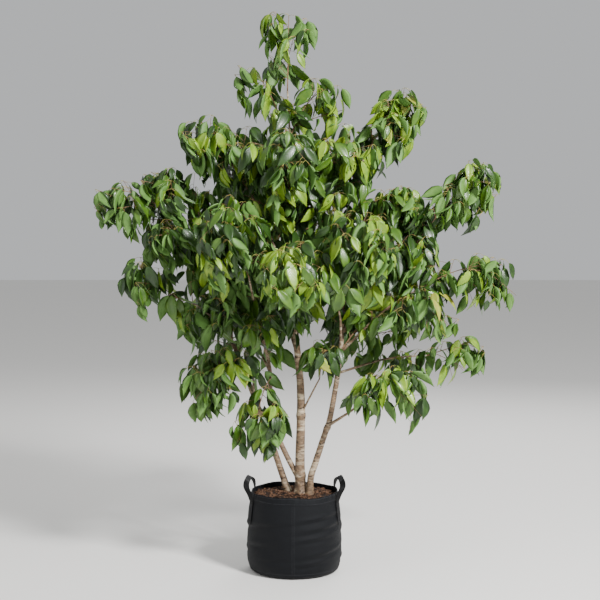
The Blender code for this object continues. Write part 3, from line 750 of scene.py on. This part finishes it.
LIMBS = tuple(Limb(*row) for row in (
    ("trunk", "soil", (33, 0), ((24, 0, 446), (28, 0, 762), (9, 0, 994), (-11, 0, 1181), (-4, 0, 1360),
     (-11, 0, 1614), (-19, 0, 1872), (-30, 0, 2080)), 47, 7, 1.35),
    ("stem_right", "soil", (66, -26), ((71, -30, 410), (89, -34, 469), (132, -40, 604), (150, -40, 654),
     (175, -40, 787), (200, -30, 958), (211, 0, 1138), (235, 30, 1350), (262, 50, 1600), (300, 50, 1800)),
     30, 7),
    ("stem_left_outer", "soil", (-22, 42), ((-64, 42, 440), (-114, 30, 591), (-178, 20, 760),
     (-246, 0, 942), (-319, 0, 1112), (-413, 0, 1398), (-478, 0, 1530)), 30, 8),
    ("stem_left_inner", "trunk", 0.04, ((-36, 20, 500), (-77, 40, 598), (-105, 80, 752), (-109, 100, 861),
     (-145, 150, 1039), (-177, 190, 1216), (-200, 220, 1450)), 25, 8),
    ("bough_right_low", "stem_right", 0.222, ((243, -80, 708), (297, -120, 761), (315, -130, 772)), 14, 7),
    ("spur_trunk", "trunk", 0.208, ((85, -50, 800), (108, -65, 846)), 9, 6),
    ("bough_left_high", "trunk", 0.5, ((-140, 0, 1549), (-256, 0, 1743)), 12, 7),
    ("bough_low_left", "stem_left_outer", 0.6, ((-410, -50, 1154), (-520, -80, 1203)), 10, 6),
    ("bough_right_upper", "stem_right", 0.49, ((371, -20, 1268), (500, -30, 1398), (577, -30, 1498)), 14,
     6),
    ("bough_right_mid", "stem_right", 0.435, ((386, -100, 1144), (529, -120, 1235)), 12, 6),
    ("bough_right_lower", "stem_right", 0.375, ((400, 60, 918), (585, 100, 930)), 11, 6),
    ("bough_left_lower", "stem_left_outer", 0.36, ((-180, -50, 890), (-170, -90, 915)), 10, 6),
    ("bough_hanging", "stem_left_inner", 0.38, ((-105, 0, 845), (-100, -70, 850)), 9, 6),
    ("bough_front_left", "stem_left_inner", 0.5, ((-160, -20, 1100), (-190, -200, 1290)), 12, 7),
    ("bough_front_right", "stem_right", 0.41, ((195, -160, 1100), (165, -270, 1230)), 12, 7),
    ("bough_front", "trunk", 0.375, ((0, -140, 1150), (20, -260, 1235)), 13, 7),
    ("bough_back_left", "trunk", 0.35, ((-60, 180, 1150), (-100, 340, 1260)), 13, 7),
    ("bough_back_right", "stem_right", 0.3, ((230, 160, 1000), (270, 320, 1150)), 13, 7),
    ("bough_back_low", "stem_left_inner", 0.45, ((-180, 220, 980), (-240, 300, 1030)), 11, 7),
))

MASSES = tuple(Mass(*row) for row in (
    ("top", "trunk", 1.0, (-24, 0, 2402), 140, 160, 5, 0),
    ("top_left", "trunk", 0.88, (-180, -20, 2180), 120, 150, 4),
    ("top_right", "trunk", 0.89, (110, 20, 2080), 150, 180, 4),
    ("upper_front", "trunk", 0.72, (-60, -260, 1840), 190, 190, 5),
    ("upper_back", "trunk", 0.68, (80, 280, 1840), 200, 200, 6),
    ("left_high", "bough_left_high", 1.0, (-400, 0, 1950), 130, 150, 4, 10),
    ("left_middle", "trunk", 0.66, (-250, -20, 1860), 170, 200, 5),
    ("right_middle", "trunk", 0.62, (240, -10, 1870), 190, 210, 6),
    ("far_left", "stem_left_outer", 0.94, (-780, -20, 1665), 120, 160, 5, 40),
    ("far_left_top", "stem_left_outer", 1.0, (-580, 0, 1720), 140, 150, 4, 0),
    ("far_left_low", "stem_left_outer", 0.85, (-560, -40, 1500), 145, 190, 5, 30),
    ("left_shoulder", "stem_left_outer", 0.82, (-430, 30, 1670), 110, 170, 4, 0),
    ("low_left", "bough_low_left", 1.0, (-665, -100, 1340), 120, 140, 3, 0),
    ("left_lower", "bough_left_lower", 1.0, (-380, -140, 880), 160, 180, 6),
    ("hanging", "bough_hanging", 1.0, (-160, -150, 690), 140, 150, 4),
    ("left_inner", "stem_left_outer", 0.56, (-270, -90, 1360), 190, 210, 6),
    ("front_left", "bough_front_left", 1.0, (-270, -360, 1540), 180, 200, 6, 0),
    ("front_low", "trunk", 0.4, (-110, -240, 1130), 170, 150, 4),
    ("front_right", "bough_front_right", 1.0, (270, -400, 1500), 190, 190, 6, 0),
    ("front", "bough_front", 1.0, (10, -520, 1370), 190, 180, 5),
    ("right_high", "stem_right", 1.0, (490, 50, 2070), 115, 150, 5, 10),
    ("right_shoulder", "stem_right", 0.78, (500, 50, 1600), 180, 190, 6),
    ("right_upper", "bough_right_upper", 1.0, (800, -30, 1750), 120, 160, 5, 10),
    ("right_inner", "bough_right_upper", 0.5, (560, -80, 1400), 170, 190, 5),
    ("right_mid", "bough_right_mid", 1.0, (875, -150, 1340), 115, 155, 5, 30),
    ("right_under", "bough_right_mid", 0.6, (580, -190, 1200), 160, 150, 5),
    ("right_lower", "bough_right_lower", 1.0, (780, 120, 990), 100, 120, 3, 0),
    ("right_heart", "stem_right", 0.44, (420, 30, 1170), 180, 200, 5),
    ("right_low", "bough_right_low", 1.0, (450, -200, 830), 160, 180, 6),
    ("spur", "spur_trunk", 1.0, (120, -110, 980), 130, 170, 3, 0),
    ("back_left", "bough_back_left", 1.0, (-250, 560, 1420), 200, 190, 6),
    ("back_right", "bough_back_right", 1.0, (400, 530, 1330), 200, 190, 6),
    ("back_high", "stem_left_inner", 1.0, (-210, 290, 1660), 190, 190, 5, 0),
    ("back_low", "bough_back_low", 1.0, (-400, 440, 1120), 180, 170, 5),
    ("back_middle", "trunk", 0.5, (60, 260, 1420), 180, 180, 4),
))

# Masses that are open in the reference view: the leader's own, those before the trunk and one low on the
# right. They bear fewer twigs, with their leaves further apart.
OPEN_MASSES = ("top", "top_left", "top_right", "front_low", "spur", "right_low")
OPEN_GROWTH = {"finer": 0.9, "leaf_step": 0.054}


def smooth_route(stops: list[Vector], step: float, cuts: int = 24) -> list[Vector]:
    """Even points along a smooth curve that passes through the stops.

    Args:
        stops: The places that the curve passes.
        step: About how far apart the points lie.
        cuts: How finely the curve is followed between two stops.

    Returns:
        The points.
    """
    padded = [2 * stops[0] - stops[1], *stops, 2 * stops[-1] - stops[-2]]
    fine = []
    for a, b, c, d in zip(padded, padded[1:], padded[2:], padded[3:]):
        for i in range(cuts):
            t = i / cuts
            bend = (2 * a - 5 * b + 4 * c - d) * t * t + (3 * b - a - 3 * c + d) * t**3
            fine.append(0.5 * (2 * b + (c - a) * t + bend))
    fine.append(stops[-1])
    marks = np.concatenate(([0.0], np.cumsum([(b - a).length for a, b in zip(fine, fine[1:])])))
    count = max(4, round(marks[-1] / step) + 1)
    flat = np.array([tuple(point) for point in fine])
    return [Vector(tuple(np.interp(mark, marks, flat[:, axis]) for axis in range(3)))
            for mark in np.linspace(0.0, marks[-1], count)]


class Route:
    """The centre line and the radii of a limb or a shoot."""

    def __init__(self, points: list[Vector], foot: float, tip: float, taper: float = 1.0) -> None:
        """Spreads the radius from foot to tip over the points."""
        self.points = points
        last = len(points) - 1
        self.radii = [tip + (foot - tip) * (1.0 - i / last) ** taper for i in range(last + 1)]

    def at(self, share: float) -> tuple[Vector, Vector, float]:
        """The point, the direction and the radius at a share of the length."""
        last = len(self.points) - 1
        leg = min(int(share * last), last - 1)
        part = share * last - leg
        a, b = self.points[leg], self.points[leg + 1]
        radius = self.radii[leg] + (self.radii[leg + 1] - self.radii[leg]) * part
        return a.lerp(b, part), (b - a).normalized(), radius


@dataclass
class Timber:
    """The trunk, stems and boughs, each one limb with the relief of its bark."""

    step: float = 0.007
    foot_height: float = 0.316
    soil: float = 0.336
    sides: tuple[int, int] = (12, 28)
    thick_mm: float = 20
    # Ridges: their height, the second one's share of it, how soon they change along, and their two sizes
    ridge: float = 0.035
    minor: float = 0.6
    change: float = 22
    sizes: Pair = (1.3, 3.1)
    # The trunk's foot flares in lobes, the other stems' plainly, and a bough has a collar: (size, reach)
    flare: Pair = (0.55, 0.022)
    lobes: int = 5
    lobe: float = 0.35
    stem_flare: Pair = (0.30, 0.02)
    collar: Pair = (0.35, 0.016)
    knot_reach: float = 0.012
    knots: tuple[tuple[str, float, float], ...] = (
        ("trunk", 0.055, 0.16), ("trunk", 0.205, 0.20), ("trunk", 0.345, 0.14), ("trunk", 0.43, 0.10),
        ("stem_right", 0.215, 0.22), ("stem_right", 0.37, 0.14), ("stem_right", 0.48, 0.14),
        ("stem_left_outer", 0.355, 0.14), ("stem_left_outer", 0.60, 0.14), ("stem_left_inner", 0.375, 0.14))
    routes: dict[str, Route] = field(default_factory=dict)

    def build(self) -> None:
        """Builds every limb on its own route."""
        for limb in LIMBS:
            self.build_limb(limb)

    def build_limb(self, limb: Limb) -> None:
        """Sweeps a limb along its route, with ridges, knots, and a collar where it leaves its bearer."""
        rooted = limb.bearer == "soil"
        if rooted:
            first = Vector((*metres(limb.start), self.foot_height))
        else:
            first = self.routes[limb.bearer].at(limb.start)[0]
        foot, tip = (width / MM_PER_METRE / 2 for width in (limb.foot, limb.tip))
        route = Route(smooth_route([first, *map(metres, limb.stops)], self.step), foot, tip, limb.taper)
        self.routes[limb.name] = route
        last = len(route.points) - 1
        knots = [(share * last, size) for name, share, size in self.knots if name == limb.name]
        seed = sum(map(ord, limb.name))

        def shape(i: int, turn: float, radius: float) -> float:
            """The limb's reach at this point and angle."""
            grain = Vector((math.cos(turn), math.sin(turn), i * self.step * self.change + seed))
            major, minor = (noise.noise(grain * size) for size in self.sizes)
            reach = 1.0 + self.ridge * major + self.minor * self.ridge * minor
            for middle, size in knots:
                reach += size * hump((i - middle) * self.step, 0.0, self.knot_reach)
            above = max(0.0, route.points[i].z - self.soil)
            if limb.name == "trunk":
                size, fade = self.flare
                reach += size * (1.0 + self.lobe * math.cos(self.lobes * turn)) * math.exp(-above / fade)
            elif rooted:
                size, fade = self.stem_flare
                reach += size * math.exp(-above / fade)
            else:
                size, fade = self.collar
                reach += size * math.exp(-i * self.step / fade)
            return radius * reach

        sheaf = Sheaf()
        sheaf.add(route.points, route.radii, self.sides[limb.foot > self.thick_mm], shape)
        sheaf.finish(f"bark_{limb.name}", BARK, limb.name)


class Space:
    """The space of a mass: a rounded sleeve round its leading shoot, as far as no other shoot is nearer."""

    hang = 0.05  # how far it hangs below its shoot
    near = 0.75  # how near the heart of another space has to be
    slim = 0.12  # how much narrower it is at the tip of its shoot
    heart = 0.6  # where along its shoot its heart lies
    step = 0.02
    shoot = (0.0040, 0.0014)  # its radius at the foot and at the tip
    thinner = 0.85  # its foot's most, as a share of its bearer's radius

    def __init__(self, mass: Mass, routes: dict[str, Route]) -> None:
        """Lays the leading shoot, arched upwards, and the legs that distances are taken from."""
        self.mass = mass
        self.across, self.deep = mass.across / MM_PER_METRE, mass.deep / MM_PER_METRE
        spot, _, radius = routes[mass.bearer].at(mass.start)
        tip = metres(mass.tip)
        arch = mass.arch / MM_PER_METRE
        points = [spot.lerp(tip, t) + UP * (4 * arch * t * (1 - t)) for t in (0.0, 1 / 3, 2 / 3, 1.0)]
        foot, end = self.shoot
        self.lead = Route(smooth_route(points, self.step), min(foot, radius * self.thinner), end)
        self.legs = [(a, b - a) for a, b in zip(points, points[1:])]
        self.others: list[Space] = []

    def meet(self, spaces: list[Space]) -> None:
        """Notes the other spaces that are near enough to share a border."""
        middle = self.lead.at(self.heart)[0]
        self.others = [other for other in spaces
                       if other is not self and (other.lead.at(self.heart)[0] - middle).length < self.near]

    def measure(self, point: Vector) -> float:
        """How far out in the sleeve a point lies: 0 on its axis and 1 on its skin."""
        best = math.inf
        for leg, (start, way) in enumerate(self.legs):
            part = clamp((point - start).dot(way) / way.length_squared)
            off = point - start - way * part + UP * self.hang
            level = (off.x**2 + off.y**2) / self.across**2
            slim = 1.0 - self.slim * (leg + part) / len(self.legs)
            best = min(best, (level + (off.z / self.deep) ** 2) / slim**2)
        return math.sqrt(best)

    def holds(self, point: Vector, most: float, ease: float = 1.0) -> bool:
        """Whether a point lies in this space, and in no other one much more deeply."""
        own = self.measure(point)
        return own <= most and all(own * ease <= other.measure(point) for other in self.others)


@dataclass(frozen=True)
class Leaf:
    """One leaf: where its blade starts, the ways it runs and faces, its size, its bend and its green."""

    root: Vector
    along: Vector
    face: Vector
    length: float
    width: float
    bend: float
    fold: float
    wave: float
    tone: int


@dataclass(frozen=True)
class LeafForm:
    """The form of a leaf: an ovate blade with a drawn-out tip, folded at its midrib and bent down."""

    # (share of the length, share of the half width)
    outline: tuple[Pair, ...] = (
        (0.05, 0.30), (0.14, 0.66), (0.27, 0.93), (0.42, 1.0), (0.57, 0.90), (0.71, 0.66), (0.83, 0.36),
        (0.92, 0.13))
    columns: tuple[float, ...] = (-1.0, -0.5, 0.0, 0.5, 1.0)
    teeth: float = 0.035
    ripples: Pair = (9, 2.5)
    thickness: float = 0.0007

    def faces(self) -> tuple[list[tuple[int, ...]], list[tuple[int, ...]]]:
        """The faces of the upper and of the lower skin, which share the root, the tip and the margins."""
        rows, wide = len(self.outline), len(self.columns)
        root, tip, under = rows * wide, rows * wide + 1, rows * wide + 2

        def high(i: int, j: int) -> int:
            """The number of a point of the upper skin."""
            return i * wide + j

        def low(i: int, j: int) -> int:
            """The number of a point of the lower skin."""
            return high(i, j) if j in (0, wide - 1) else under + i * (wide - 2) + j - 1

        skins = []
        for number in (high, low):
            skin = [(root, number(0, j + 1), number(0, j)) for j in range(wide - 1)]
            skin += [(number(i, j), number(i, j + 1), number(i + 1, j + 1), number(i + 1, j))
                     for i in range(rows - 1) for j in range(wide - 1)]
            skin += [(number(rows - 1, j), number(rows - 1, j + 1), tip) for j in range(wide - 1)]
            skins.append(skin)
        return skins[0], [face[::-1] for face in skins[1]]

    def chart(self) -> np.ndarray:
        """The UV place of every point, across and along the leaf."""
        spots = [((column + 1) / 2, t) for t, _ in self.outline for column in self.columns]
        spots += [(0.5, 0.0), (0.5, 1.0)]
        spots += [((column + 1) / 2, t) for t, _ in self.outline for column in self.columns[1:-1]]
        return np.array(spots)

    def points(self, leaf: Leaf) -> np.ndarray:
        """The points of one leaf in place."""
        across = leaf.along.cross(leaf.face).normalized()
        face = across.cross(leaf.along)
        lengthwise, crosswise = self.ripples
        spots = []
        for i, (t, share) in enumerate([*self.outline, (0.0, 0.0), (1.0, 0.0)]):
            tooth = 1.0 + (self.teeth if i % 2 else -self.teeth)
            bend = leaf.bend * t
            run = math.sin(bend) / leaf.bend
            sink = -(1.0 - math.cos(bend)) / leaf.bend
            for column in self.columns if share else (0.0,):
                aside = column * share * tooth * leaf.width / 2
                wave = leaf.wave * math.sin(lengthwise * t + crosswise * column)
                lift = abs(column) * share * leaf.fold + wave * abs(column)
                way = leaf.along * run + across * aside + face * (sink + lift)
                spots.append(leaf.root + leaf.length * way)
        inner = [spots[i * len(self.columns) + j] - face * self.thickness
                 for i in range(len(self.outline)) for j in range(1, len(self.columns) - 1)]
        return np.array([tuple(spot) for spot in spots + inner])


@dataclass
class Foliage:
    """One mass of foliage, grown by the seeded rule of the solids and carried to finer twigs.

    The spurs that grow straight from the limbs are one more, with no space of their own.
    """

    low: Vector
    high: Vector
    space: Space | None = None
    form: LeafForm = LeafForm()
    # A leaf: its blade, its stalk, how it droops, its width as a share, its bend, its fold, its wave
    blade: Pair = (0.062, 0.132)
    stalk: Pair = (0.018, 0.034)
    droop: Pair = (0.7, 2.6)
    slender: Pair = (0.40, 0.48)
    bend: Pair = (0.25, 0.95)
    fold: Pair = (0.02, 0.09)
    wave: Pair = (-0.015, 0.015)
    leaf_step: float = 0.036
    turns: tuple[int, ...] = (0, 40, -40, 80, -80, 130, -130)
    shrinks: Pair = (1.0, 0.82)
    room: Pair = (1.12, 0.72)
    ahead: float = 0.35
    # How a leaf faces: outwards from the tree's axis, aside at random, and up
    facing: Triple = (0.62, 0.80, 0.62)
    # Painted light: which way it comes from, and how light it is on the axis at this level
    painted_light_way: Triple = (0.30, -0.25, 0.25)
    painted_light_at_axis: float = 0.25
    level: float = 1.0
    # The weights of the deep and the bright green, how far the painted light shifts them, and the young
    # one's elsewhere and at a leading tip
    greens: Triple = (1.3, 0.25, 0.8)
    young: Pair = (0.02, 0.30)
    # A leaf along a shoot leans this much either way, and the leaves of its tuft are turned this much
    stray: Pair = (-0.5, 0.5)
    tuft: Triple = (0, 120, 240)
    twist: Pair = (-30, 30)
    stalk_radii: Triple = (0.0009, 0.0008, 0.0007)
    stalk_arch: float = 0.1
    overlap: float = 0.004
    steepest: float = 0.2  # a shoot steeper than this has no side of its own
    # Twigs: the golden angle between them, their most and least length, how far out in the space they
    # reach, from where and over how much of a shoot they leave it, how they head, and how thin they end
    angle: float = math.radians(137.5)
    most: float = 0.30
    least: float = 0.035
    pace: float = 0.01
    reach: float = 0.86
    finer: float = 2.0  # twigs for each one of the solid's
    bearing: Pair = (0.10, 0.84)
    heading: Triple = (0.60, 0.80, 0.25)
    thinner: float = 0.7
    sag: float = 0.12
    tip: Pair = (0.0008, 0.45)
    joints: int = 6
    lead_sides: int = 6
    twig_sides: int = 5
    bare_lead: float = 0.03
    bare_twig: float = 0.018
    # Side twigs: the shares where they leave, their most, how much thinner, and how long a twig bears them
    forks: Pair = (0.35, 0.62)
    fork_most: float = 0.11
    fork_thinner: float = 0.6
    fork_from: float = 0.09
    fork_heading: Pair = (0.6, 0.8)
    # Spurs: their length, gap, heading, radius and bare foot, and the limbs that bear them, from what share
    spur: Pair = (0.03, 0.10)
    spur_gap: float = 0.040
    spur_end: float = 0.985
    spur_heading: Triple = (0.55, 0.85, 0.15)
    spur_radius: float = 0.0022
    spur_taper: Triple = (1.0, 0.8, 0.5)
    bare_spur: float = 0.02
    spurred: tuple[tuple[str, float], ...] = (
        ("trunk", 0.47), ("stem_right", 0.47), ("stem_left_outer", 0.50), ("stem_left_inner", 0.50),
        ("bough_right_upper", 0.35), ("bough_left_high", 0.35), ("bough_right_mid", 0.4),
        ("bough_right_lower", 0.4), ("bough_left_lower", 0.35), ("bough_right_low", 0.55),
        ("bough_low_left", 0.5), ("bough_back_right", 0.4), ("bough_back_left", 0.4), ("bough_front", 0.4))
    wood: Sheaf = field(default_factory=Sheaf)
    stalks: Sheaf = field(default_factory=Sheaf)
    leaves: list[Leaf] = field(default_factory=list)
    chance: random.Random = field(default_factory=random.Random)

    def grow(self) -> None:
        """Grows the shoots and leaves of a mass."""
        mass, lead = self.space.mass, self.space.lead
        self.chance.seed(mass.node)
        self.wood.add(lead.points, lead.radii, self.lead_sides)
        phase = self.chance.uniform(0.0, math.tau)
        count = round(mass.twigs * self.finer)
        first, span = self.bearing
        for number in range(count):
            base, along, radius = lead.at(first + span * (number + 0.5) / count)
            way = self.head(along, self.angle * number + phase, self.heading)
            self.add_twig(base, way, radius * self.thinner, self.most, False)
        self.add_leaves(lead.points, self.bare_lead, self.pick_tone(lead.points[-1], True))
        self.finish(mass.name, mass.node)

    def grow_spurs(self, routes: dict[str, Route]) -> None:
        """Grows short leafy spurs straight from the limbs where they run through the crown."""
        self.chance.seed("spurs")
        for name, first in self.spurred:
            route = routes[name]
            count = round((1.0 - first) * len(route.points) * Timber.step / self.spur_gap)
            for number in range(count):
                base, along, radius = route.at(first + (self.spur_end - first) * (number + 0.5) / count)
                way = self.head(along, self.angle * number, self.spur_heading)
                length = self.chance.uniform(*self.spur)
                line = [base + way * (length * t) for t in (0.0, 0.5, 1.0)]
                thin = min(self.spur_radius, radius * self.fork_thinner)
                self.wood.add(line, [thin * part for part in self.spur_taper], self.twig_sides)
                self.add_leaves(line, self.bare_spur, self.pick_tone(line[-1], False))
        self.finish("spurs")

    def finish(self, name: str, *nodes: str) -> None:
        """Makes one mesh of each kind: the twigs, the stalks and the leaves."""
        self.wood.finish(f"twigs_{name}", TWIG, *nodes)
        self.stalks.finish(f"stalks_{name}", STALK, *nodes)
        self.build_leaves(f"leaves_{name}", *nodes)

    def head(self, along: Vector, angle: float, way: Triple) -> Vector:
        """The way of a twig: so much ahead, aside at this angle round its bearer, and up."""
        aside = Quaternion(along, angle) @ along.orthogonal().normalized()
        return (along * way[0] + aside * way[1] + UP * way[2]).normalized()

    def pick_tone(self, place: Vector, leading: bool) -> int:
        """Deals a green to a spray: painted light, with brighter greens on the lit side and deeper ones in
        the shade, youngest at leading tips.
        """
        x, y, z = self.painted_light_way
        # Painted light: how far the spray lies towards the lit side, from 0 to 1.
        light = clamp(z * (place.z - self.level) + x * place.x + y * place.y + self.painted_light_at_axis)
        deep, bright, painted_light_gain = self.greens
        weights = [deep - painted_light_gain * light, 1.0, bright + painted_light_gain * light, self.young[leading]]
        return self.chance.choices(range(len(weights)), weights)[0]

    def run_length(self, base: Vector, heading: Vector, most: float) -> float:
        """How far a twig can run before it leaves the space."""
        length = self.least
        while length < most and self.space.holds(base + heading * (length + self.pace), self.reach):
            length += self.pace
        return length

    def add_twig(self, base: Vector, heading: Vector, radius: float, most: float, forked: bool) -> None:
        """Adds a twig with its leaves, and side twigs on a long one that isn't one itself."""
        length = self.run_length(base, heading, most)
        if length <= self.least and forked:
            return
        sag = self.sag * length
        shares = np.linspace(0.0, 1.0, self.joints).tolist()
        line = [base + heading * (length * t) - UP * (sag * t * t) for t in shares]
        thinnest, share = self.tip
        radii = np.linspace(radius, max(thinnest, radius * share), self.joints).tolist()
        self.wood.add(line, radii, self.twig_sides)
        self.add_leaves(line, self.bare_twig, self.pick_tone(line[-1], False))
        if forked or length < self.fork_from:
            return
        ahead, aside = self.fork_heading
        for i, share in enumerate(self.forks):
            turn = Quaternion(heading, self.angle * i + self.chance.uniform(0, math.tau))
            side = (turn @ heading.orthogonal()).normalized()
            way = (heading * ahead + side * aside).normalized()
            self.add_twig(base.lerp(line[-1], share), way, radius * self.fork_thinner, self.fork_most, True)

    def add_leaves(self, line: list[Vector], bare: float, tone: int) -> None:
        """Hangs leaves on both sides of a shoot in turn, with a tuft at its tip."""
        route = Route(line, 1.0, 1.0)
        length = sum((b - a).length for a, b in zip(line, line[1:]))
        count = max(1, round((length - bare) / self.leaf_step))
        for i in range(count):
            spot, along, _ = route.at((bare + (length - bare) * (i + 0.5) / count) / length)
            side = along.cross(UP)
            side = side.normalized() if side.length > self.steepest else Vector((1.0, 0.0, 0.0))
            hand = 1 if i % 2 else -1
            out = (side * hand + along * self.chance.uniform(*self.stray)).normalized()
            self.add_leaf(spot, along, out, tone)
        spot, along, _ = route.at(1.0)
        level = Vector((along.x, along.y, 0.01)).normalized()
        for turn in self.tuft:
            out = Quaternion(UP, math.radians(turn + self.chance.uniform(*self.twist))) @ level
            self.add_leaf(spot, along, out, tone)

    def add_leaf(self, spot: Vector, along: Vector, side: Vector, tone: int) -> None:
        """Hangs a leaf on its stalk, turned further until it finds room."""
        chance = self.chance
        length, stalk, droop = (chance.uniform(*span) for span in (self.blade, self.stalk, self.droop))
        spin = chance.uniform(0.0, math.tau)
        for shrink in self.shrinks:
            for turn in self.turns:
                out = Quaternion(UP, math.radians(turn)) @ side
                away = (out + along * self.ahead - UP * droop * self.ahead).normalized()
                heading = (out + along * self.ahead - UP * droop).normalized()
                root = spot + away * stalk
                tip = root + heading * (length * shrink)
                inside = all(a <= b <= c for a, b, c in zip(self.low, tip, self.high))
                if not inside or (self.space and not self.space.holds(tip, *self.room)):
                    continue
                outwards, aside, up = self.facing
                outward = Vector((spot.x, spot.y, 0.0)).normalized()
                face = outward * outwards + Vector((aside * math.cos(spin), aside * math.sin(spin), up))
                form = [chance.uniform(*span) for span in (self.slender, self.bend, self.fold, self.wave)]
                self.leaves.append(Leaf(root, heading, face, length * shrink, *form, tone))
                middle = spot.lerp(root, 0.5) + UP * (self.stalk_arch * stalk)
                self.stalks.add([spot, middle, root + heading * self.overlap], self.stalk_radii, 3)
                return

    def build_leaves(self, name: str, *nodes: str) -> None:
        """Joins the leaves of this mass into one mesh, with its UV map and a green for each spray."""
        upper, lower = self.form.faces()
        chart = self.form.chart()
        size = len(chart)
        under = list(Tone).index(Tone.UNDER)
        faces, kinds = [], []
        for number, leaf in enumerate(self.leaves):
            faces += [tuple(number * size + k for k in face) for face in upper + lower]
            kinds += [leaf.tone] * len(upper) + [under] * len(lower)
        piece = mesh_object(name, [self.form.points(leaf) for leaf in self.leaves], faces, kinds)
        corners = np.empty(len(piece.data.loops), dtype=np.int32)
        piece.data.loops.foreach_get("vertex_index", corners)
        layer = piece.data.uv_layers.new(name="leaf")
        layer.data.foreach_set("uv", chart[corners % size].ravel().astype(np.float32))
        finish_piece(piece, name, [tone.finish() for tone in Tone], *nodes)


@dataclass
class Studio:
    """A plain pale floor, soft light from the upper right and the camera of the reference view."""

    camera_place: Triple = (0.024, -5.63, 1.506)
    camera_tilt: float = math.radians(86.7)
    lens: float = 78.0
    floor_size: float = 60.0
    floor_colour: str = "e9e7e3"
    sky_colour: str = "e6e8ea"
    sky_strength: float = 0.70
    # Each light: its name, its place, its power and its size
    lights: tuple[tuple[str, Triple, float, float], ...] = (
        ("key", (3.4, -4.2, 4.6), 900.0, 1.1), ("fill", (-4.5, -3.5, 2.6), 80.0, 4.0),
        ("back", (1.5, 4.6, 4.2), 160.0, 3.0))
    aim: Triple = (0.0, 0.0, 1.2)

    def build(self) -> None:
        """Places the camera, the lights, the sky and the floor."""
        bpy.ops.object.camera_add(location=self.camera_place, rotation=(self.camera_tilt, 0.0, 0.0))
        camera = bpy.context.object
        camera.data.lens = self.lens
        bpy.context.scene.camera = camera
        for name, place, power, size in self.lights:
            turn = (Vector(self.aim) - Vector(place)).to_track_quat("-Z", "Y").to_euler()
            bpy.ops.object.light_add(type="AREA", location=place, rotation=turn)
            light = bpy.context.object
            light.name = name
            light.data.energy = power
            light.data.size = size
        world = bpy.data.worlds.new("pale_sky")
        world.use_nodes = True
        sky = world.node_tree.nodes["Background"]
        sky.inputs[0].default_value = linear(self.sky_colour)
        sky.inputs[1].default_value = self.sky_strength
        bpy.context.scene.world = world
        bpy.ops.mesh.primitive_plane_add(size=self.floor_size)
        floor = bpy.context.object
        floor.name = "floor"
        pale = Finish("pale_floor", "", self.floor_colour, self.floor_colour, grain_mm=50.0, roughness=0.9,
                      bump=0.0)
        floor.data.materials.append(pale.build())
        floor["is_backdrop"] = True


def main() -> None:
    """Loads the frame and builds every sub-assembly in order."""
    logging.basicConfig(level=logging.INFO, format="%(name)s: %(message)s")
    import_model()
    frame_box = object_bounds()
    bpy.ops.object.select_all(action="DESELECT")
    Studio().build()
    bag = GrowBag()
    bag.build()
    for name, side in (("handle_left", -1), ("handle_right", 1)):
        Handle(bag, name, side).build()
    Compost(bag).build()
    timber = Timber()
    timber.build()
    spaces = [Space(mass, timber.routes) for mass in MASSES]
    low, high = (Vector(corner) for corner in frame_box)
    for space in spaces:
        space.meet(spaces)
    count = 0
    for space in spaces:
        foliage = Foliage(low, high, space, **(OPEN_GROWTH if space.mass.name in OPEN_MASSES else {}))
        foliage.grow()
        count += len(foliage.leaves)
    spurs = Foliage(low, high)
    spurs.grow_spurs(timber.routes)
    LOG.info("%d leaves", count + len(spurs.leaves))


if __name__ == "__main__":
    main()
